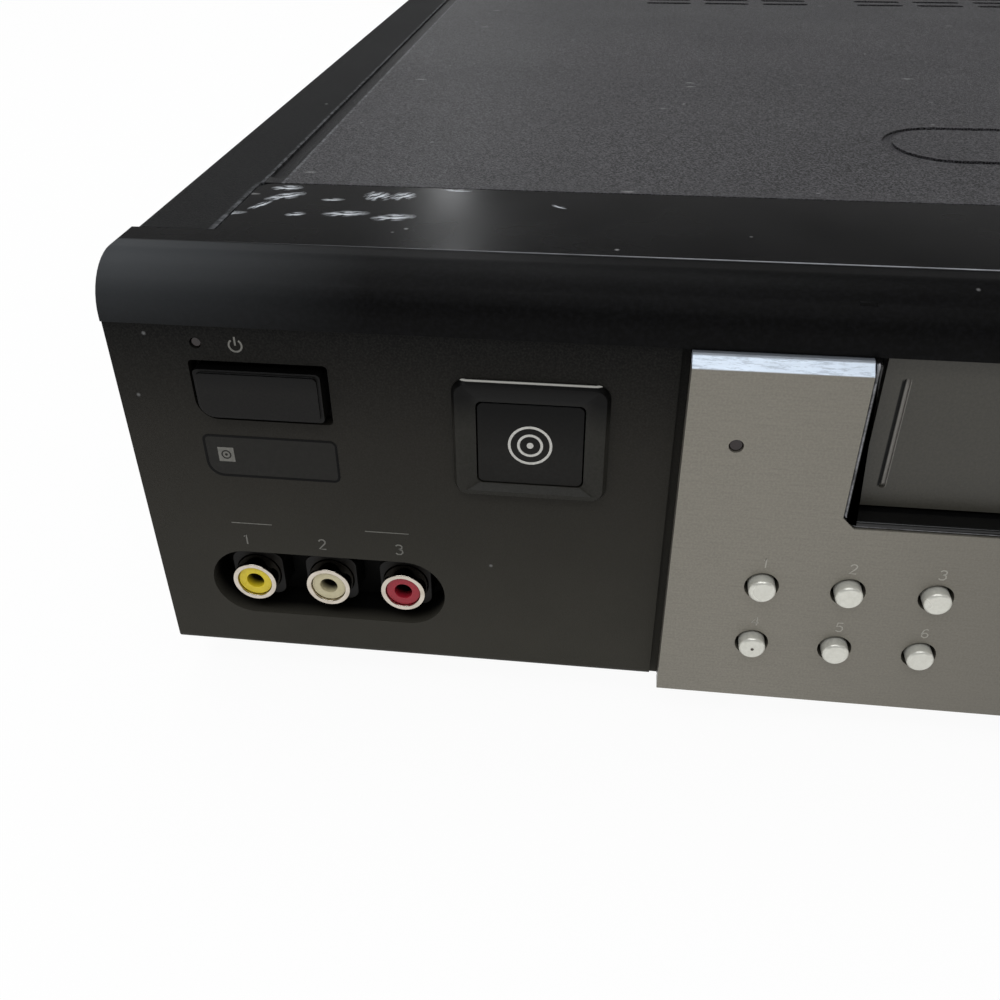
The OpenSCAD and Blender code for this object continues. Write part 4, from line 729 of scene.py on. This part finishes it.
def add_piece(name, mesh, material, body):
    data = bpy.data.meshes.new(name)
    mesh.to_mesh(data)
    mesh.free()
    data.materials.append(material)
    piece = bpy.data.objects.new(name, data)
    bpy.context.scene.collection.objects.link(piece)
    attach(piece, body)


def face_of(node):
    """The middle of a node's front."""
    low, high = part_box(node)
    return Vector(((low.x + high.x) / 2, low.y, (low.z + high.z) / 2))


def triangle(at, size, way):
    u, v = at
    back = u - way * size * 0.5
    return [(back, v - size * 0.6), (u + way * size * 0.5, v), (back, v + size * 0.6)]


def rectangle(low, high):
    return [low, (high[0], low[1]), high, (low[0], high[1])]


def disc(radius, at=(0, 0)):
    turns = [math.tau * i / 24 for i in range(24)]
    return [(at[0] + radius * math.cos(t), at[1] + radius * math.sin(t)) for t in turns]


def print_front():
    """Plain marks on the black panel: the power sign, and a number and line over the jacks."""
    sheet = Print(spot(0, 0, 0))
    sheet.arc(1.05, 0.3, 125, 415, (21.5, 64.3))
    sheet.line([(21.5, 64.3), (21.5, 65.8)], 0.3)
    sheet.line([(15.1, 29.3), (22.5, 29.3)], 0.16)
    sheet.line([(39.4, 29.3), (47.2, 29.3)], 0.16)
    for i, digit in enumerate("123"):
        sheet.number(digit, (17.3 + 14 * i, 25.7), 2.1, 0.26)
    sheet.done("front_marks", materials["print"])


def print_fascia():
    """Faint numbers over the small round buttons, and a dark dot on the fourth."""
    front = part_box("fascia_panel")[0].y
    sheet = Print(Vector((0, front, 0)))
    for digit in "123456":
        middle = face_of("menu_button_" + digit) / MM
        sheet.number(digit, (middle.x, middle.z + 5.0), 1.9, 0.22)
    sheet.done("fascia_marks", materials["faint"])
    dot = Print(face_of("menu_button_4"))
    dot.fill(disc(0.28))
    dot.done("button_dot", materials["dot"], "menu_button_4")


def window_outline(width, height, radius, large_radius):
    """Points round a window whose lower left corner has the larger radius."""
    points = []
    steps = 8
    corners = ((1, 1, radius, 0), (-1, 1, radius, 90), (-1, -1, large_radius, 180), (1, -1, radius, 270))
    for u, v, r, start in corners:
        for i in range(steps + 1):
            turn = math.radians(start + 90 * i / steps)
            points.append((u * (width / 2 - r) + r * math.cos(turn), v * (height / 2 - r) + r * math.sin(turn)))
    return points


# Strokes of a digit in the display, as lower left and upper right corners in mm from the digit's middle
SEGMENTS = (((-2, 4.3), (2, 5)), ((-2, -0.35), (2, 0.35)), ((-2, -5), (2, -4.3)), ((-2.9, 0.6), (-2.2, 4.3)),
            ((2.2, 0.6), (2.9, 4.3)), ((-2.9, -4.3), (-2.2, -0.6)), ((2.2, -4.3), (2.9, -0.6)))


def print_windows():
    """The sensor window's dark joint, square and eye, the target on the pad and the display's unlit digits."""
    low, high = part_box("sensor_window")
    joint = Print(face_of("sensor_window"))
    joint.line(window_outline((high.x - low.x) / MM, (high.z - low.z) / MM, 1.0, 2.6), 0.42, closed=True)
    joint.done("sensor_joint", materials["dark"])
    square = Print(face_of("sensor_window"))
    square.fill(rectangle((-9.3, -1.1), (-6.5, 1.7)))
    square.done("sensor_square", materials["print"])
    eye = Print(face_of("sensor_window") - Vector((0, Print.RISE * MM, 0)))
    eye.arc(0.75, 0.22, at=(-7.9, 0.3))
    eye.fill(disc(0.25, (-7.9, 0.3)))
    eye.done("sensor_eye", materials["window"])
    target = Print(face_of("reader_pad"))
    target.arc(3.4, 0.42)
    target.arc(1.9, 0.42)
    target.fill(disc(0.55))
    target.done("pad_target", materials["bright"])
    digits = Print(face_of("display_window"))
    for middle in (-15, -7, 5, 13):
        for start, end in SEGMENTS:
            digits.fill(rectangle((start[0] + middle, start[1]), (end[0] + middle, end[1])))
    digits.fill(rectangle((-1.4, 1.4), (-0.6, 2.2)))
    digits.fill(rectangle((-1.4, -2.2), (-0.6, -1.4)))
    digits.done("display_digits", materials["segment"])


def print_keys():
    """The usual transport signs, each on its button, and minus and plus on the rocker."""
    signs = {
        "rewind_button": [triangle((-1.0, 0), 2.2, -1), triangle((1.2, 0), 2.2, -1)],
        "play_button": [triangle((0, 0), 2.8, 1)],
        "forward_button": [triangle((-1.2, 0), 2.2, 1), triangle((1.0, 0), 2.2, 1)],
        "stop_button": [rectangle((-1.2, -1.2), (1.2, 1.2))],
        "pause_button": [rectangle((-1.2, -1.3), (-0.4, 1.3)), rectangle((0.4, -1.3), (1.2, 1.3))],
        "record_button": [disc(1.3)],
        "eject_button": [[(-1.5, -0.2), (1.5, -0.2), (0, 1.5)], rectangle((-1.5, -1.2), (1.5, -0.6))],
        "channel_rocker": [rectangle((-9.4, -0.15), (-7.4, 0.15)), rectangle((7.4, -0.15), (9.4, 0.15)),
                           rectangle((8.25, 0.15), (8.55, 1.0)), rectangle((8.25, -1.0), (8.55, -0.15))],
    }
    for node, outlines in signs.items():
        sign = Print(face_of(node))
        for outline in outlines:
            sign.fill(outline)
        finish = "dot" if node == "channel_rocker" else "print"
        name = node.replace("button", "sign").replace("rocker", "signs")
        sign.done(name, materials[finish], node)


def make_ridge():
    """The line where the rolled strip meets the smooth tongue, coloured as a painted highlight."""
    mesh = bmesh.new()
    steps = 24
    inset = 14.6
    rows = []
    for i in range(steps + 1):
        share = i / steps
        middle = spot(inset + share * (2 * -LEFT / MM - 2 * inset), 11.1, TONGUE_Z)
        radius = 0.14 * MM * min(1.0, 6 * min(share, 1 - share) + 0.15)
        rows.append([mesh.verts.new(middle + Vector((0, math.cos(t), math.sin(t))) * radius)
                     for t in [math.tau * k / 8 for k in range(8)]])
    for one, two in zip(rows, rows[1:]):
        for k in range(8):
            mesh.faces.new((one[k], one[(k + 1) % 8], two[(k + 1) % 8], two[k]))
    mesh.faces.new(rows[0][::-1])
    mesh.faces.new(rows[-1])
    bmesh.ops.recalc_face_normals(mesh, faces=mesh.faces)
    add_piece("strip_ridge", mesh, materials["ridge"], "case")


make_camera()
make_world()
make_floor()
make_lights()
materials = make_materials()
for finish, names in WEAR.items():
    for name in names:
        dress(name, materials[finish])
print_front()
print_fascia()
print_windows()
print_keys()
make_ridge()

scene = bpy.context.scene
scene.view_settings.view_transform = "Standard"
